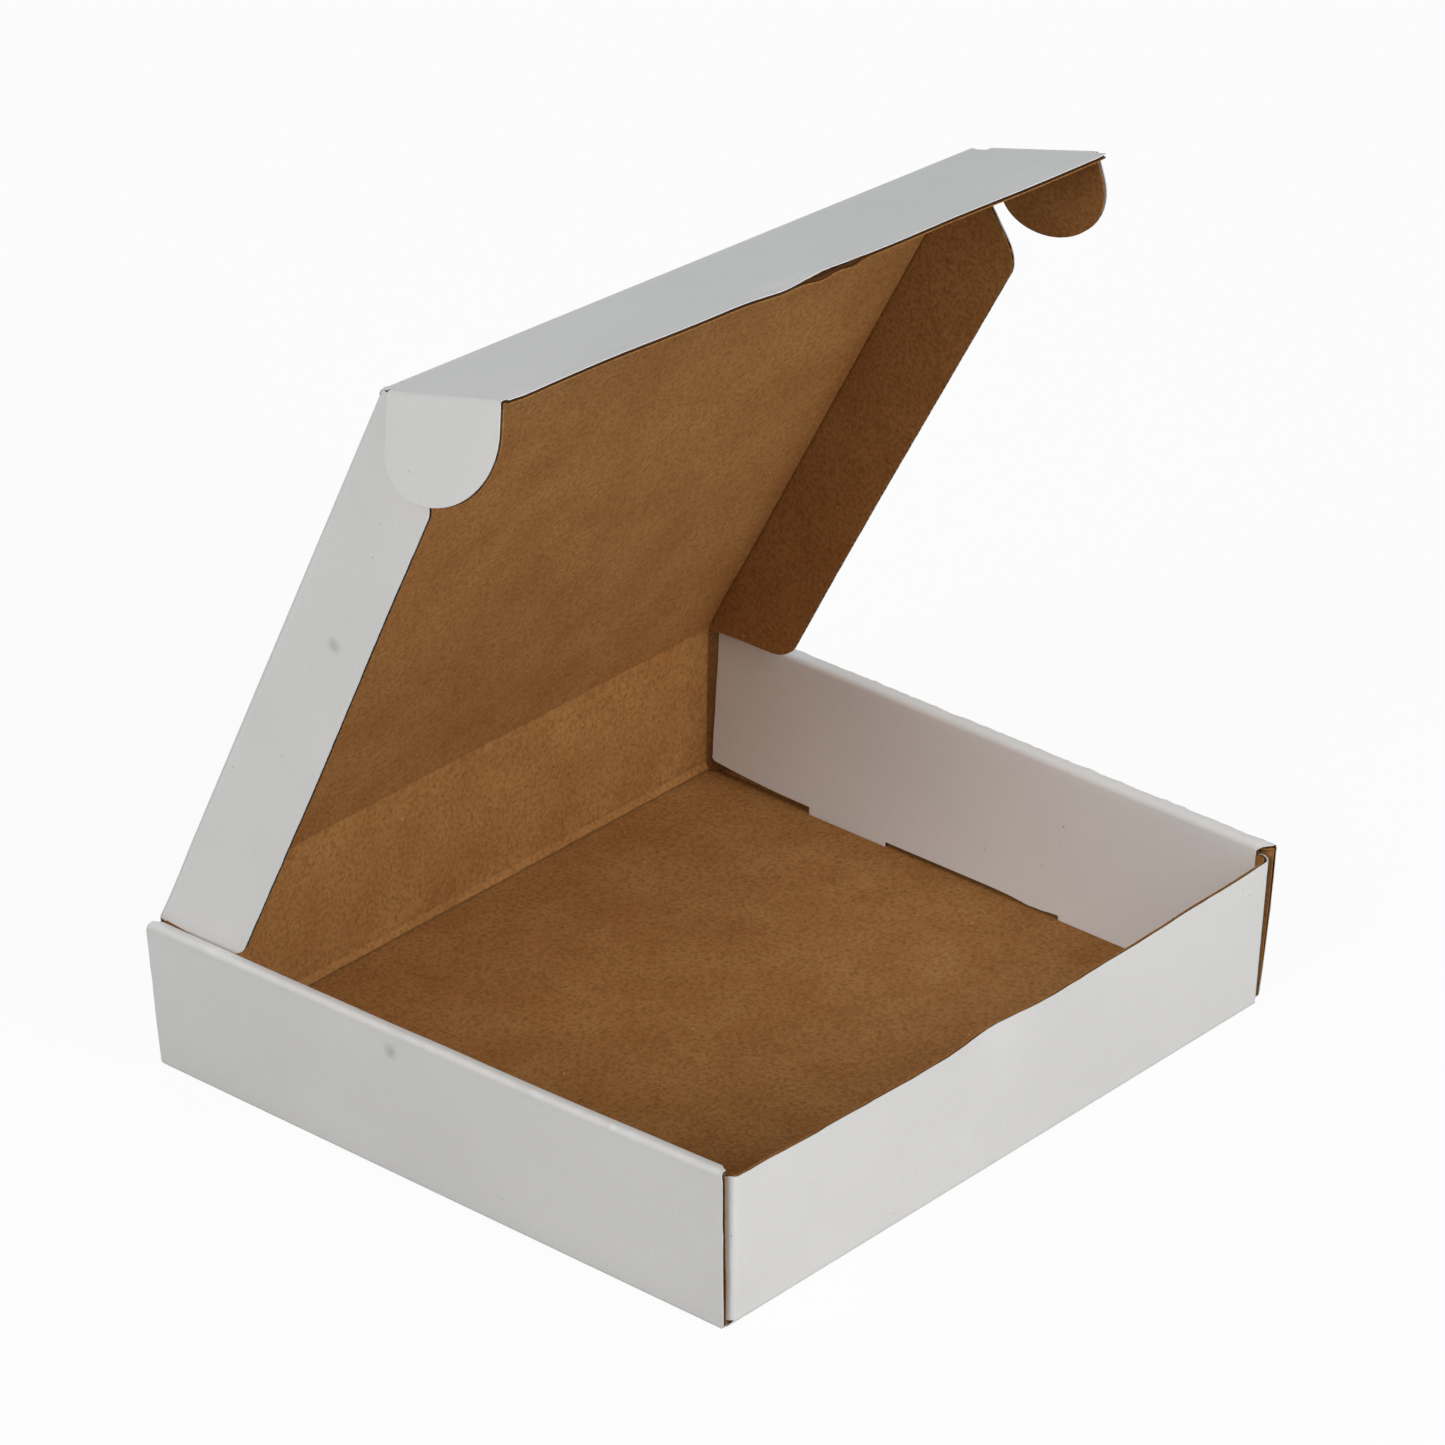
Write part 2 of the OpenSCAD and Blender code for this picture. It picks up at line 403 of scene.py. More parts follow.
@dataclass
class Sheet:
    """A stretch of board: grid lines in the flat blank, its outline and how it is put in place.

    Attributes:
        along: Grid lines along the flutes.
        across: Grid lines across the flutes.
        place: Gives the place of a point of the blank at a height over the middle of the board.
        shape: Moves a grid point to the sheet's true outline, for each ply by itself.
        cuts: Rectangles cut out.
        plies: The papers to make over the whole sheet.
        flutes: Stretches near a raw edge where the medium shows.
    """

    along: Sequence[float]
    across: Sequence[float]
    place: Place
    shape: Shape = as_cut
    cuts: Sequence[Patch] = ()
    plies: Sequence[Ply] = (Ply.WHITE, Ply.KRAFT)
    flutes: Sequence[Patch] = ()

    def build(self, target: bmesh.types.BMesh) -> None:
        """Adds every ply of the sheet to a mesh."""
        for ply in self.plies:
            self._add_ply(target, ply, self.along, self.across)
        for low, high, first, last in self.flutes:
            inside = [line for line in self.along if low < line < high]
            self._add_ply(target, Ply.MEDIUM, joined([low, high], inside),
                          spaced(first, last, BOARD.flute_step))

    def _add_ply(self, target: bmesh.types.BMesh, ply: Ply, along: Sequence[float],
                 across: Sequence[float]) -> None:
        """Adds one ply as a thin closed slab.

        Args:
            target: The mesh that receives it.
            ply: Which paper it is.
            along: Grid lines along the flutes.
            across: Grid lines across the flutes.
        """
        slab = bmesh.new()
        bmesh.ops.create_grid(slab, x_segments=len(along) - 1, y_segments=len(across) - 1, size=1)
        cell_x = (len(along) - 1) / 2
        cell_y = (len(across) - 1) / 2
        self._cut_out(slab, along, across, cell_x, cell_y)
        made = bmesh.ops.extrude_face_region(slab, geom=slab.faces[:])["geom"]
        top = {item for item in made if isinstance(item, bmesh.types.BMVert)}
        low, high = BOARD.band(ply)
        flat = {}
        for vert in slab.verts:
            i = round((vert.co.x + 1) * cell_x)
            j = round((vert.co.y + 1) * cell_y)
            a, b = self.shape(along[i], across[j], ply)
            out = high if vert in top else low
            if ply is Ply.MEDIUM:
                out += BOARD.wave(b)
            flat[vert] = (a * MM, b * MM)
            vert.co = self.place(a, b, out) * MM
        bmesh.ops.recalc_face_normals(slab, faces=slab.faces[:])
        chart = slab.loops.layers.uv.new(BLANK_MAP)
        for face in slab.faces:
            face.material_index = int(ply)
            face.smooth = True
            for loop in face.loops:
                loop[chart].uv = flat[loop.vert]
        for edge in slab.edges:
            edge.smooth = edge.calc_face_angle(math.pi) < SHARP_ANGLE
        pour(slab, target)

    def _cut_out(self, slab: bmesh.types.BMesh, along: Sequence[float], across: Sequence[float],
                 cell_x: float, cell_y: float) -> None:
        """Deletes the grid's cells that lie in a cut."""
        gone = []
        for face in slab.faces:
            middle = face.calc_center_median()
            i = int((middle.x + 1) * cell_x)
            j = int((middle.y + 1) * cell_y)
            a = (along[i] + along[i + 1]) / 2
            b = (across[j] + across[j + 1]) / 2
            if any(c[0] < a < c[1] and c[2] < b < c[3] for c in self.cuts):
                gone.append(face)
        bmesh.ops.delete(slab, geom=gone, context="FACES")


def pour(source: bmesh.types.BMesh, target: bmesh.types.BMesh) -> None:
    """Adds one mesh to another and frees the first."""
    held = bpy.data.meshes.new("held")
    source.to_mesh(held)
    source.free()
    target.from_mesh(held)
    bpy.data.meshes.remove(held)


def make_piece(name: str, sheets: Sequence[Sheet],
               finishes: Sequence[bpy.types.Material]) -> bpy.types.Object:
    """Builds one piece of the box from its sheets.

    Args:
        name: Name of the piece.
        sheets: The stretches of board it is made of.
        finishes: Materials for the plies, in their order.

    Returns:
        The piece's object, at the origin.
    """
    whole = bmesh.new()
    whole.loops.layers.uv.new(BLANK_MAP)
    for sheet in sheets:
        sheet.build(whole)
    mesh = bpy.data.meshes.new(name)
    whole.to_mesh(mesh)
    whole.free()
    for finish in finishes:
        mesh.materials.append(finish)
    piece = bpy.data.objects.new(name, mesh)
    bpy.context.scene.collection.objects.link(piece)
    LOG.info("%s: %d faces", name, len(mesh.polygons))
    return piece


def linear(code: str) -> tuple[float, float, float, float]:
    """An sRGB hex colour as linear red, green and blue, with full alpha."""
    parts = [int(code[i:i + 2], 16) / 255 for i in (1, 3, 5)]
    curve = [c / 12.92 if c <= 0.04045 else ((c + 0.055) / 1.055) ** 2.4 for c in parts]
    return curve[0], curve[1], curve[2], 1.0


Tree = bpy.types.NodeTree
Socket = bpy.types.NodeSocket
Colour = tuple[float, float, float, float] | Socket


def add(tree: Tree, kind: str, settings: dict, inputs: dict) -> bpy.types.Node:
    """Adds a node.

    Args:
        tree: The material's node tree.
        kind: The node's type.
        settings: Values of the node's own properties.
        inputs: Values or sockets for its inputs, by name or number.

    Returns:
        The node.
    """
    node = tree.nodes.new(kind)
    for key, value in settings.items():
        setattr(node, key, value)
    for key, value in inputs.items():
        if isinstance(value, Socket):
            tree.links.new(value, node.inputs[key])
        else:
            node.inputs[key].default_value = value
    return node


def mixed(tree: Tree, share: Socket, under: Colour, over: Colour) -> Socket:
    """A colour with a share of another one over it."""
    return add(tree, "ShaderNodeMix", {"data_type": "RGBA"}, {0: share, 6: under, 7: over}).outputs[2]


def maths(tree: Tree, operation: str, *values: float | Socket, clamped: bool = False) -> Socket:
    """The result of an operation on values or sockets."""
    settings = {"operation": operation, "use_clamp": clamped}
    return add(tree, "ShaderNodeMath", settings, dict(enumerate(values))).outputs["Value"]


def ranged(tree: Tree, value: Socket, low: float, high: float, first: float = 0.0, last: float = 1.0,
           kind: str = "LINEAR") -> Socket:
    """Takes a value from one range to another, and holds it there.

    Args:
        tree: The node tree.
        value: The value.
        low: Where its range starts.
        high: Where its range ends.
        first: What the start becomes.
        last: What the end becomes.
        kind: How it runs between them.

    Returns:
        The value in the new range.
    """
    limits = {"Value": value, "From Min": low, "From Max": high, "To Min": first, "To Max": last}
    return add(tree, "ShaderNodeMapRange", {"interpolation_type": kind}, limits).outputs["Result"]


def cloudy(tree: Tree, place: Socket, size: float, detail: float = 3.0, roughness: float = 0.5) -> Socket:
    """Soft noise whose clouds have a width in millimetres."""
    inputs = {"Vector": place, "Scale": 1 / (size * MM), "Detail": detail, "Roughness": roughness}
    return add(tree, "ShaderNodeTexNoise", {}, inputs).outputs["Fac"]


def blank_place(tree: Tree, axis: str) -> Socket:
    """Distance in the blank along (X) or across (Y) the flutes."""
    chart = add(tree, "ShaderNodeUVMap", {"uv_map": BLANK_MAP}, {})
    return add(tree, "ShaderNodeSeparateXYZ", {}, {"Vector": chart.outputs["UV"]}).outputs[axis]


def new_tree(name: str) -> tuple[bpy.types.Material, Tree, bpy.types.Node]:
    """A new node material, its tree and its output."""
    material = bpy.data.materials.new(name)
    material.use_nodes = True
    tree = material.node_tree
    tree.nodes.clear()
    return material, tree, add(tree, "ShaderNodeOutputMaterial", {}, {})


@dataclass(frozen=True)
class Flecks:
    """Small spots in the paper.

    Attributes:
        spacing: Distance from spot to spot, in millimetres.
        radius: Their radius in millimetres.
        colour: Their colour.
        kept: Share of them that is drawn.
        strength: How strong they are.
        core: Share of the radius that has the full colour.
    """

    spacing: float
    radius: float
    colour: str
    kept: float
    strength: float
    core: float = 0.5

    def over(self, tree: Tree, base: Socket, place: Socket) -> Socket:
        """Lays the spots over a colour.

        Args:
            tree: The material's node tree.
            base: The colour under them.
            place: Object coordinates.

        Returns:
            The colour with the spots.
        """
        cells = add(tree, "ShaderNodeTexVoronoi", {}, {"Vector": place, "Scale": 1 / (self.spacing * MM)})
        edge = self.radius / self.spacing
        distance = cells.outputs["Distance"]
        spot = ranged(tree, distance, edge * self.core, edge, self.strength, 0.0, "SMOOTHSTEP")
        parts = add(tree, "ShaderNodeSeparateColor", {}, {"Color": cells.outputs["Color"]})
        few = maths(tree, "LESS_THAN", parts.outputs["Red"], self.kept)
        return mixed(tree, maths(tree, "MULTIPLY", spot, few), base, linear(self.colour))


@dataclass(frozen=True)
class Paper:
    """A paper of the board: matt, slightly cloudy, with the flutes just showing through.

    Lengths are millimetres.

    Attributes:
        name: The material's name.
        colour: Its main colour.
        cloud: The colour that it drifts to in soft clouds.
        grain: The colour of its finest mottling.
        cloud_size: Width of a cloud.
        grain_size: Width of the mottling, drawn a little coarse so that it shows.
        grain_share: How strong the mottling is.
        cloud_band: Stretch of the clouds' noise over which the colour drifts.
        grain_band: Stretch of the mottling's noise over which it shows.
        grain_depth: Depth of the mottling's relief.
        grain_relief: Strength of that relief.
        flecks: The spots in it.
        rough: Roughness.
        sheen: Strength of its reflection.
        washboard: Depth of the flutes' print on the surface.
        smudge: Place of a soft grey rub mark in the frame, if there is one.
        smudge_radius: Radius of the mark.
        smudge_core: Share of the radius that has the full colour.
        smudge_fade: How far past the radius it dies away.
        smudge_grain: Width of the noise that frays it.
        smudge_frayed: How far it is frayed.
        smudge_strength: How strong it is.
        smudge_colour: Its colour.
        shade: Stretch along the blank before which painted shade darkens the paper, standing in for the
            shadow in a deep recess.
        shade_strength: How strong the painted shade is there.
        shade_colour: The colour of the painted shade.
    """

    name: str
    colour: str
    cloud: str
    grain: str
    cloud_size: float = 30.0
    grain_size: float = 1.2
    grain_share: float = 0.5
    cloud_band: tuple[float, float] = (0.35, 0.65)
    grain_band: tuple[float, float] = (0.4, 0.72)
    grain_depth: float = 0.03
    grain_relief: float = 0.6
    flecks: tuple[Flecks, ...] = ()
    rough: float = 0.7
    sheen: float = 0.08
    washboard: float = 0.02
    smudge: tuple[float, float, float] | None = None
    smudge_radius: float = 3.0
    smudge_core: float = 0.3
    smudge_fade: float = 1.2
    smudge_grain: float = 2.5
    smudge_frayed: float = 1.4
    smudge_strength: float = 0.4
    smudge_colour: str = "#8E8E90"
    shade: tuple[float, float] | None = None
    shade_strength: float = 0.55
    shade_colour: str = "#2A1206"

    def make(self) -> bpy.types.Material:
        """Builds the material."""
        material, tree, output = new_tree(self.name)
        place = add(tree, "ShaderNodeTexCoord", {}, {}).outputs["Object"]
        clouds = cloudy(tree, place, self.cloud_size)
        grain = cloudy(tree, place, self.grain_size, detail=4.0, roughness=0.65)
        drift = ranged(tree, clouds, *self.cloud_band)
        colour = mixed(tree, drift, linear(self.colour), linear(self.cloud))
        speck = ranged(tree, grain, *self.grain_band, last=self.grain_share)
        colour = mixed(tree, speck, colour, linear(self.grain))
        for flecks in self.flecks:
            colour = flecks.over(tree, colour, place)
        if self.smudge:
            colour = self._rubbed(tree, colour, place)
        if self.shade:
            colour = self._shaded(tree, colour)
        shader = add(tree, "ShaderNodeBsdfPrincipled", {},
                     {"Base Color": colour, "Roughness": self.rough, "Specular IOR Level": self.sheen,
                      "Normal": self._relief(tree, grain)})
        tree.links.new(shader.outputs["BSDF"], output.inputs["Surface"])
        return material

    def _relief(self, tree: Tree, grain: Socket) -> Socket:
        """The surface's normal, with the flutes' faint print and the paper's grain."""
        turn = maths(tree, "MULTIPLY", blank_place(tree, "Y"), 2 * math.pi / (BOARD.pitch * MM))
        wave = maths(tree, "SINE", turn)
        flutes = add(tree, "ShaderNodeBump", {},
                     {"Height": wave, "Distance": self.washboard * MM, "Strength": 1.0})
        paper = add(tree, "ShaderNodeBump", {},
                    {"Height": grain, "Distance": self.grain_depth * MM, "Strength": self.grain_relief,
                     "Normal": flutes.outputs["Normal"]})
        return paper.outputs["Normal"]

    def _shaded(self, tree: Tree, colour: Socket) -> Socket:
        """Paints shade on the paper before its shade stretch, standing in for a shadow."""
        first, last = (end * MM for end in self.shade)
        share = ranged(tree, blank_place(tree, "X"), first, last, self.shade_strength, 0.0, "SMOOTHSTEP")
        return mixed(tree, share, colour, linear(self.shade_colour))

    def _rubbed(self, tree: Tree, colour: Socket, place: Socket) -> Socket:
        """Lays the rub mark over a colour."""
        spread = cloudy(tree, place, self.smudge_grain)
        off = add(tree, "ShaderNodeVectorMath", {"operation": "SUBTRACT"},
                  {0: place, 1: Vector(self.smudge) * MM})
        gap = add(tree, "ShaderNodeVectorMath", {"operation": "LENGTH"}, {0: off.outputs["Vector"]})
        ragged = maths(tree, "MULTIPLY_ADD", spread, self.smudge_frayed * MM, gap.outputs["Value"])
        first = self.smudge_core * self.smudge_radius * MM
        last = (self.smudge_radius + self.smudge_fade) * MM
        mark = ranged(tree, ragged, first, last, self.smudge_strength, 0.0, "SMOOTHSTEP")
        return mixed(tree, mark, colour, linear(self.smudge_colour))


# White-top liner: clay-coated paper, matt and very slightly cloudy, with a few grey fibres in it
WHITE_FLECKS = (Flecks(9.0, 0.4, "#A39E94", 0.5, 0.6), Flecks(23.0, 0.6, "#948D80", 0.5, 0.55))
WHITE_LINER = Paper("white_top_liner", "#E2E1DF", "#DEDDDB", "#D6D5D3", cloud_size=45.0, grain_share=0.35,
                    flecks=WHITE_FLECKS, rough=0.6, washboard=0.005)
# Kraft liner: unbleached recycled paper, warm brown, with dark bark specks and pale fibre bundles
KRAFT_FLECKS = (Flecks(4.2, 0.38, "#452810", 0.4, 0.7), Flecks(7.5, 0.45, "#CFAE80", 0.35, 0.75),
                Flecks(16.0, 0.55, "#3C2413", 0.35, 0.8))
KRAFT_LINER = Paper("kraft_liner", "#AA7C4A", "#A07040", "#744C26", cloud_size=22.0, grain_size=1.3,
                    grain_share=0.8, flecks=KRAFT_FLECKS, rough=0.8, washboard=0.01)
# Fluting paper: thinner and browner than the liner, only seen on raw edges; its colour is also darkened as
# painted shade, standing in for the shadow between the liners
MEDIUM_PAPER = Paper("fluting_medium", "#57371C", "#513218", "#442A14", rough=0.85, washboard=0.0)


@dataclass
class Dress:
    """The finished materials of the board, with the white liner marked where the real one is."""

    kraft: bpy.types.Material = field(default_factory=KRAFT_LINER.make)
    medium: bpy.types.Material = field(default_factory=MEDIUM_PAPER.make)
    white: bpy.types.Material = field(default_factory=WHITE_LINER.make)

    def plain(self) -> list[bpy.types.Material]:
        """Finishes of the plies, in their order."""
        return [self.white, self.kraft, self.medium]

    def shaded(self, name: str, stretch: tuple[float, float]) -> list[bpy.types.Material]:
        """The same finishes with painted shade on the kraft liner before a stretch of the blank."""
        return [self.white, replace(KRAFT_LINER, name=name, shade=stretch).make(), self.medium]

    def marked(self, name: str, spot: Vector) -> list[bpy.types.Material]:
        """The same finishes with a rub mark on the white liner at a place in the frame."""
        return [replace(WHITE_LINER, name=name, smudge=tuple(spot)).make(), self.kraft, self.medium]


@dataclass
class Tray:
    """The folded tray: bottom, end walls with their dust flaps, and roll-over side walls.

    A pair is for the left and the right side, but for the leans, which are for the front and the rear.

    Attributes:
        dress: The materials.
        lid_hinge: The joint on the rear wall's top crease.
        width: Outside width at the bottom.
        depth: Outside depth.
        height: Height of the side walls.
        front_height: Height of the front wall.
        layer_gap: Gap between the layers of a side wall.
        inner_rear_top: Gap from an inner panel's top to the rear wall.
        inner_rear_low: The same gap at its foot.
        inner_front: Gap from an inner panel to the front wall.
        inner_lift: Height of an inner panel's foot over the bottom.
        inner_corner: Radius of its lower corners.
        tab_width: Width of a tab.
        tab_pitch: Distance between a panel's tabs.
        tab_short: How far a tab stops short of the bottom's underside.
        slot_room: Room round a tab in its slot.
        dust_length: Length of the dust flaps.
        dust_corner: Radius of their corners.
        dust_low: Height of their lower edge.
        dust_high: Height of the rear ones' upper edge.
        dust_drop: How much lower the front ones' upper edge is.
        fold_shade: Where the painted shade on the rear wall's right dust flap fades out over its fold, past
            the flap's own length.
        end_near: Radius of an end wall's first bend.
        end_inset: How far that bend stands in.
        end_radius: Radius of its second bend.
        end_room: How far the bottom's folds run on past the second bend.
        end_lean: Share of the right wall's lean that the front wall's right end takes.
        left_lean: How far the left wall leans out at its top.
        right_lean: The same for the right wall.
        front_lean: The same for the front wall.
        front_bow: How much further out the front wall's middle is.
        front_dent: Depth, place and width of the dent in the front wall's top edge.
        front_wear: How far each ply stops below that edge.
        front_reach: How far a wall's lower front corner stands out past the front wall.
        rear_drop: How far a wall has settled at the rear.
        strip_tilt: How far a wall's top strip falls towards the inside.
        floor_swell: How uneven the bottom is.
        floor_wave: Width of its unevenness.
        floor_calm: How far from its edges the unevenness reaches its full height.
        bead_start: Height at which the rear crease's roll of liner starts.
        bead_runs: Its path down to the bottom.
        smudge_y: Place of the left wall's rub mark along the wall.
        smudge_z: Height of that mark.
    """

    dress: Dress
    lid_hinge: Hinge
    width: float = 250.0
    depth: float = 220.0
    height: float = 53.0
    front_height: float = 50.5
    layer_gap: float = 0.2
    inner_rear_top: float = 3.0
    inner_rear_low: float = 2.6
    inner_front: tuple[float, float] = (4.0, 2.4)
    inner_lift: float = 1.0
    inner_corner: float = 1.3
    tab_width: float = 31.0
    tab_pitch: float = 100.0
    tab_short: float = 0.2
    slot_room: float = 0.3
    dust_length: float = 70.0
    dust_corner: float = 8.0
    dust_low: float = 8.0
    dust_high: float = 50.6
    dust_drop: float = 3.0
    fold_shade: tuple[float, float] = (0.2, 1.6)
    end_near: float = 1.4
    end_inset: float = 1.6
    end_radius: float = 2.8
    end_room: float = 0.4
    end_lean: float = 0.15
    left_lean: tuple[float, float] = (1.6, 5.6)
    right_lean: tuple[float, float] = (2.9, 2.5)
    front_lean: float = 2.0
    front_bow: float = 2.4
    front_dent: tuple[float, float, float] = (2.0, -12.0, 14.0)
    front_wear: tuple[float, float, float] = (0.0, 0.25, 0.8)
    front_reach: tuple[float, float] = (0.0, -1.6)
    rear_drop: tuple[float, float] = (2.2, 0.0)
    strip_tilt: tuple[float, float] = (0.3, 0.0)
    floor_swell: float = 0.25
    floor_wave: float = 60.0
    floor_calm: float = 25.0
    bead_start: float = 5.2
    bead_runs: tuple[Run, ...] = (Run(0.5), Run(0.5, -35), Run(1.6), Run(0.7, 100))
    smudge_y: float = 14.2
    smudge_z: float = 43.8

    def __post_init__(self) -> None:
        """Works out the fold lines from the driving sizes."""
        self.half_w = self.width / 2
        self.half_d = self.depth / 2
        self.pivot_x = self.half_w - BOARD.fold_out
        self.wall_top = self.height - 2 * BOARD.fold_out
        self.strip = 3 * BOARD.thickness + 2 * self.layer_gap - 2 * BOARD.fold_out
        self.dust_x = self.pivot_x + BOARD.fold_in - self.layer_gap - BOARD.half
        self.end_x = self.dust_x - self.end_radius + self.end_room
        self.fold_y = self.half_d - BOARD.fold_out
        self.wall_x = self.dust_x - self.end_radius
        self.wall_y = self.half_d - BOARD.half - self.end_near
        self.inner_length = self.wall_top - (BOARD.thickness - BOARD.fold_out) - self.inner_lift
        straights = [Run(self.wall_top), Run(self.strip), Run(self.inner_length)]
        runs = tuple(run for straight in straights for run in (SQUARE_BEND, straight))
        self.side_path = FoldPath((self.pivot_x, BOARD.half), 0.0, runs)
        self.marks = self.side_path.ends()

    def lean(self, place: Vector, share: float = 1.0) -> Vector:
        """Leans the walls outwards, each side by its own amount at its front and rear end.

        Args:
            place: A point of the upright tray.
            share: How much of the lean it takes.

        Returns:
            The point on the leaning wall.
        """
        rise = max(0.0, place.z - BOARD.fold_out) / (self.height - BOARD.fold_out)
        back = (place.y + self.half_d) / self.depth
        across = clamp((place.x + self.half_w) / self.width)
        push = lerp(-lerp(*self.left_lean, back), lerp(*self.right_lean, back), across)
        return Vector((place.x + share * rise * push, place.y, place.z))

    def build(self) -> None:
        """Makes the tray's pieces and puts them on the tray's body."""
        floor = make_piece("tray_bottom", self.bottom_sheets(), self.dress.plain())
        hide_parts("tray")
        mark = self.lean(Vector((-self.half_w, self.smudge_y, self.smudge_z)))
        # Painted shade: the kraft of the rear wall's right dust flap is darkened to stand in for the shadow
        # in the recess behind the right inner panel.
        shade = tuple(self.dust_length + end for end in self.fold_shade)
        pieces = [
            floor,
            make_piece("front_wall", [self.end_sheet(-1)], self.dress.plain()),
            make_piece("rear_wall", [self.end_sheet(1)], self.dress.shaded("kraft_liner_folded", shade)),
            make_piece("left_wall", self.side_sheets(Side.LEFT),
                       self.dress.marked("white_top_liner_rubbed_wall", mark)),
            make_piece("right_wall", self.side_sheets(Side.RIGHT), self.dress.plain()),
        ]
        for piece in pieces:
            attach(piece, "tray")

    def bottom_sheets(self) -> list[Sheet]:
        """The bottom between its front and rear folds, with four slots, and the two crease beads."""
        path = FoldPath((-self.half_d + BOARD.half, BOARD.fold_out), -90.0,
                        (SQUARE_BEND, Run(2 * self.fold_y), SQUARE_BEND))
        first, last = path.ends()[:2]
        middle = (first + last) / 2
        slot_in = self.half_w - 3 * BOARD.thickness - 2 * self.layer_gap - self.slot_room
        slot_out = slot_in + BOARD.thickness + 2 * self.slot_room
        slot_half = self.tab_width / 2 + self.slot_room
        slot_y = [middle + end * self.tab_pitch / 2 + edge * slot_half for end in ENDS for edge in ENDS]
        cuts = []
        for near, far in ((slot_in, slot_out), (-slot_out, -slot_in)):
            cuts += [(near, far, slot_y[0], slot_y[1]), (near, far, slot_y[2], slot_y[3])]
        along = joined(spaced(-self.pivot_x, self.pivot_x, 6.0), [-slot_out, -slot_in, slot_in, slot_out])
        across = joined(path.lines(6.0), slot_y)

        def shape(a: float, b: float, ply: Ply) -> tuple[float, float]:
            """The folds are a little shorter than the bottom is wide."""
            over = max(0.0, first - b, b - last) / BOARD.fold_length
            return a * lerp(1.0, self.end_x / self.pivot_x, over), b

        def place(a: float, b: float, out: float) -> Vector:
            """A point of the bottom, very slightly uneven."""
            y, z = path.at(b, out)
            inside = smooth((self.fold_y - abs(y)) / self.floor_calm)
            inside *= smooth((self.pivot_x - abs(a)) / self.floor_calm)
            uneven = 1 + ripple(3, a / self.floor_wave, y / self.floor_wave)
            return Vector((a, y, z + self.floor_swell * inside * uneven))

        return [Sheet(along, across, place, shape, cuts), self.bead(1), self.bead(-1)]

    def bead(self, end: int) -> Sheet:
        """The roll of crushed liner inside the bottom crease of the rear (1) or the front (-1) wall."""
        wall_face = self.half_d - BOARD.thickness - 0.05
        path = FoldPath((wall_face, self.bead_start), -90.0, self.bead_runs)

        def place(a: float, b: float, out: float) -> Vector:
            """A point of the roll, whose width wanders along the crease."""
            y, z = path.at(b, out + BOARD.half)
            wander = sum(part.at(a, end) for part in BEAD_WANDER)
            return Vector((a, end * (y + 0.4 * wander), z + 0.5 * wander))

        half = self.end_x - 0.3
        return Sheet(spaced(-half, half, 1.5), path.lines(0.5), place, plies=(Ply.KRAFT,))

    def end_sheet(self, end: int) -> Sheet:
        """The front (-1) or the rear (1) wall with its two dust flaps, in one bend."""
        near = self.dust_x - self.end_inset
        folds = [radius * math.pi / 2 for radius in (self.end_near, self.end_radius)]
        path = FoldPath((end * near, end * (self.wall_y - self.dust_length)), 90.0 * end, (
            Run(self.dust_length), Run(folds[0], 90), Run(near - self.end_near + self.wall_x),
            Run(folds[1], 90), Run(self.dust_length)))
        marks = path.ends()
        total = marks[-1]
        low = BOARD.fold_out
        top = self.front_height if end < 0 else self.lid_hinge.place.z - CREASE_HALF
        high = self.dust_high - (self.dust_drop if end < 0 else 0.0)

        def shape(a: float, b: float, ply: Ply) -> tuple[float, float]:
            """Dust flaps are a little lower than the wall, with round corners, and raw edges are uneven."""
            tip = min(a, total - a)
            fold = folds[0] if a < total / 2 else folds[1]
            flap = smooth((self.dust_length + fold - tip) / fold)
            cut = smooth((self.dust_length - 6 - tip) / 4)
            inner = smooth((self.dust_length - 0.5 - tip) / 3) if end < 0 else flap
            corner = round_in(self.dust_corner, self.dust_corner - tip)
            bottom = lerp(low, self.dust_low, cut) + corner
            upper = lerp(top, high, inner) - corner
            share = (b - low) / (top - low)
            if end < 0:
                worn = FRONT_EDGE_FINE.at(a, ply) + FRONT_EDGE_WAVE.at(a)
                upper += (worn - self.front_wear[ply]) * (1 - flap)
            else:
                upper -= REAR_SAG * smooth((a - marks[1] - near - SAG_START) / SAG_WIDTH)
            return a, lerp(bottom, upper, share)

        def place(a: float, b: float, out: float) -> Vector:
            """A point of the wall, with the front wall's forward lean and the wave of its top edge."""
            x, y = path.at(a, out)
            x += end * self.end_inset * smooth((self.dust_length - a + 0.5) / 3)
            rise = (b - low) / (self.height - low)
            if end < 0:
                wall = smooth((-self.fold_y - y + 4) / 4)
                forward = self.front_lean + self.front_bow * max(0.0, 1 - (x / self.wall_x) ** 2)
                deep, middle, width = self.front_dent
                dent = deep * bell(x, middle, width) + FRONT_WALL_WAVE.at(x)
                y += wall * (rise ** 2 * dent - rise * forward)
            else:
                belly = math.sin(math.pi * min(1, rise * 1.05)) * smooth((self.end_x - abs(x)) / 20)
                y -= 0.4 * (1 + ripple(33, x / 70, b / 40)) * belly
            least = self.end_lean if end < 0 else 0.0
            upright = smooth((end * y - self.half_d + 5.5) / 3) * smooth(x / 60)
            return self.lean(Vector((x, y, b)), lerp(1.0, least, upright))

        along = joined(path.lines(4.0), spaced(0, self.dust_corner, 1.0),
                       spaced(total - self.dust_corner, total, 1.0))
        across = joined(spaced(low, top, 4.0), [top - 1.2, top - 0.4])
        flutes = [(0.0, total, top - 3 * BOARD.pitch, top)] if end < 0 else []
        flutes += [(0.0, 5.0, low, top), (total - 5.0, total, low, top)]
        return Sheet(along, across, place, shape, flutes=flutes)

    def side_sheets(self, side: Side) -> list[Sheet]:
        """A roll-over side wall: outer panel, top strip, inner panel and its two tabs."""
        bottom, outer_end, strip_start, _, inner_start, foot = self.marks
        half_d = self.half_d
        reach = pick(self.front_reach, side)
        drop = pick(self.rear_drop, side)
        tilt = pick(self.strip_tilt, side)

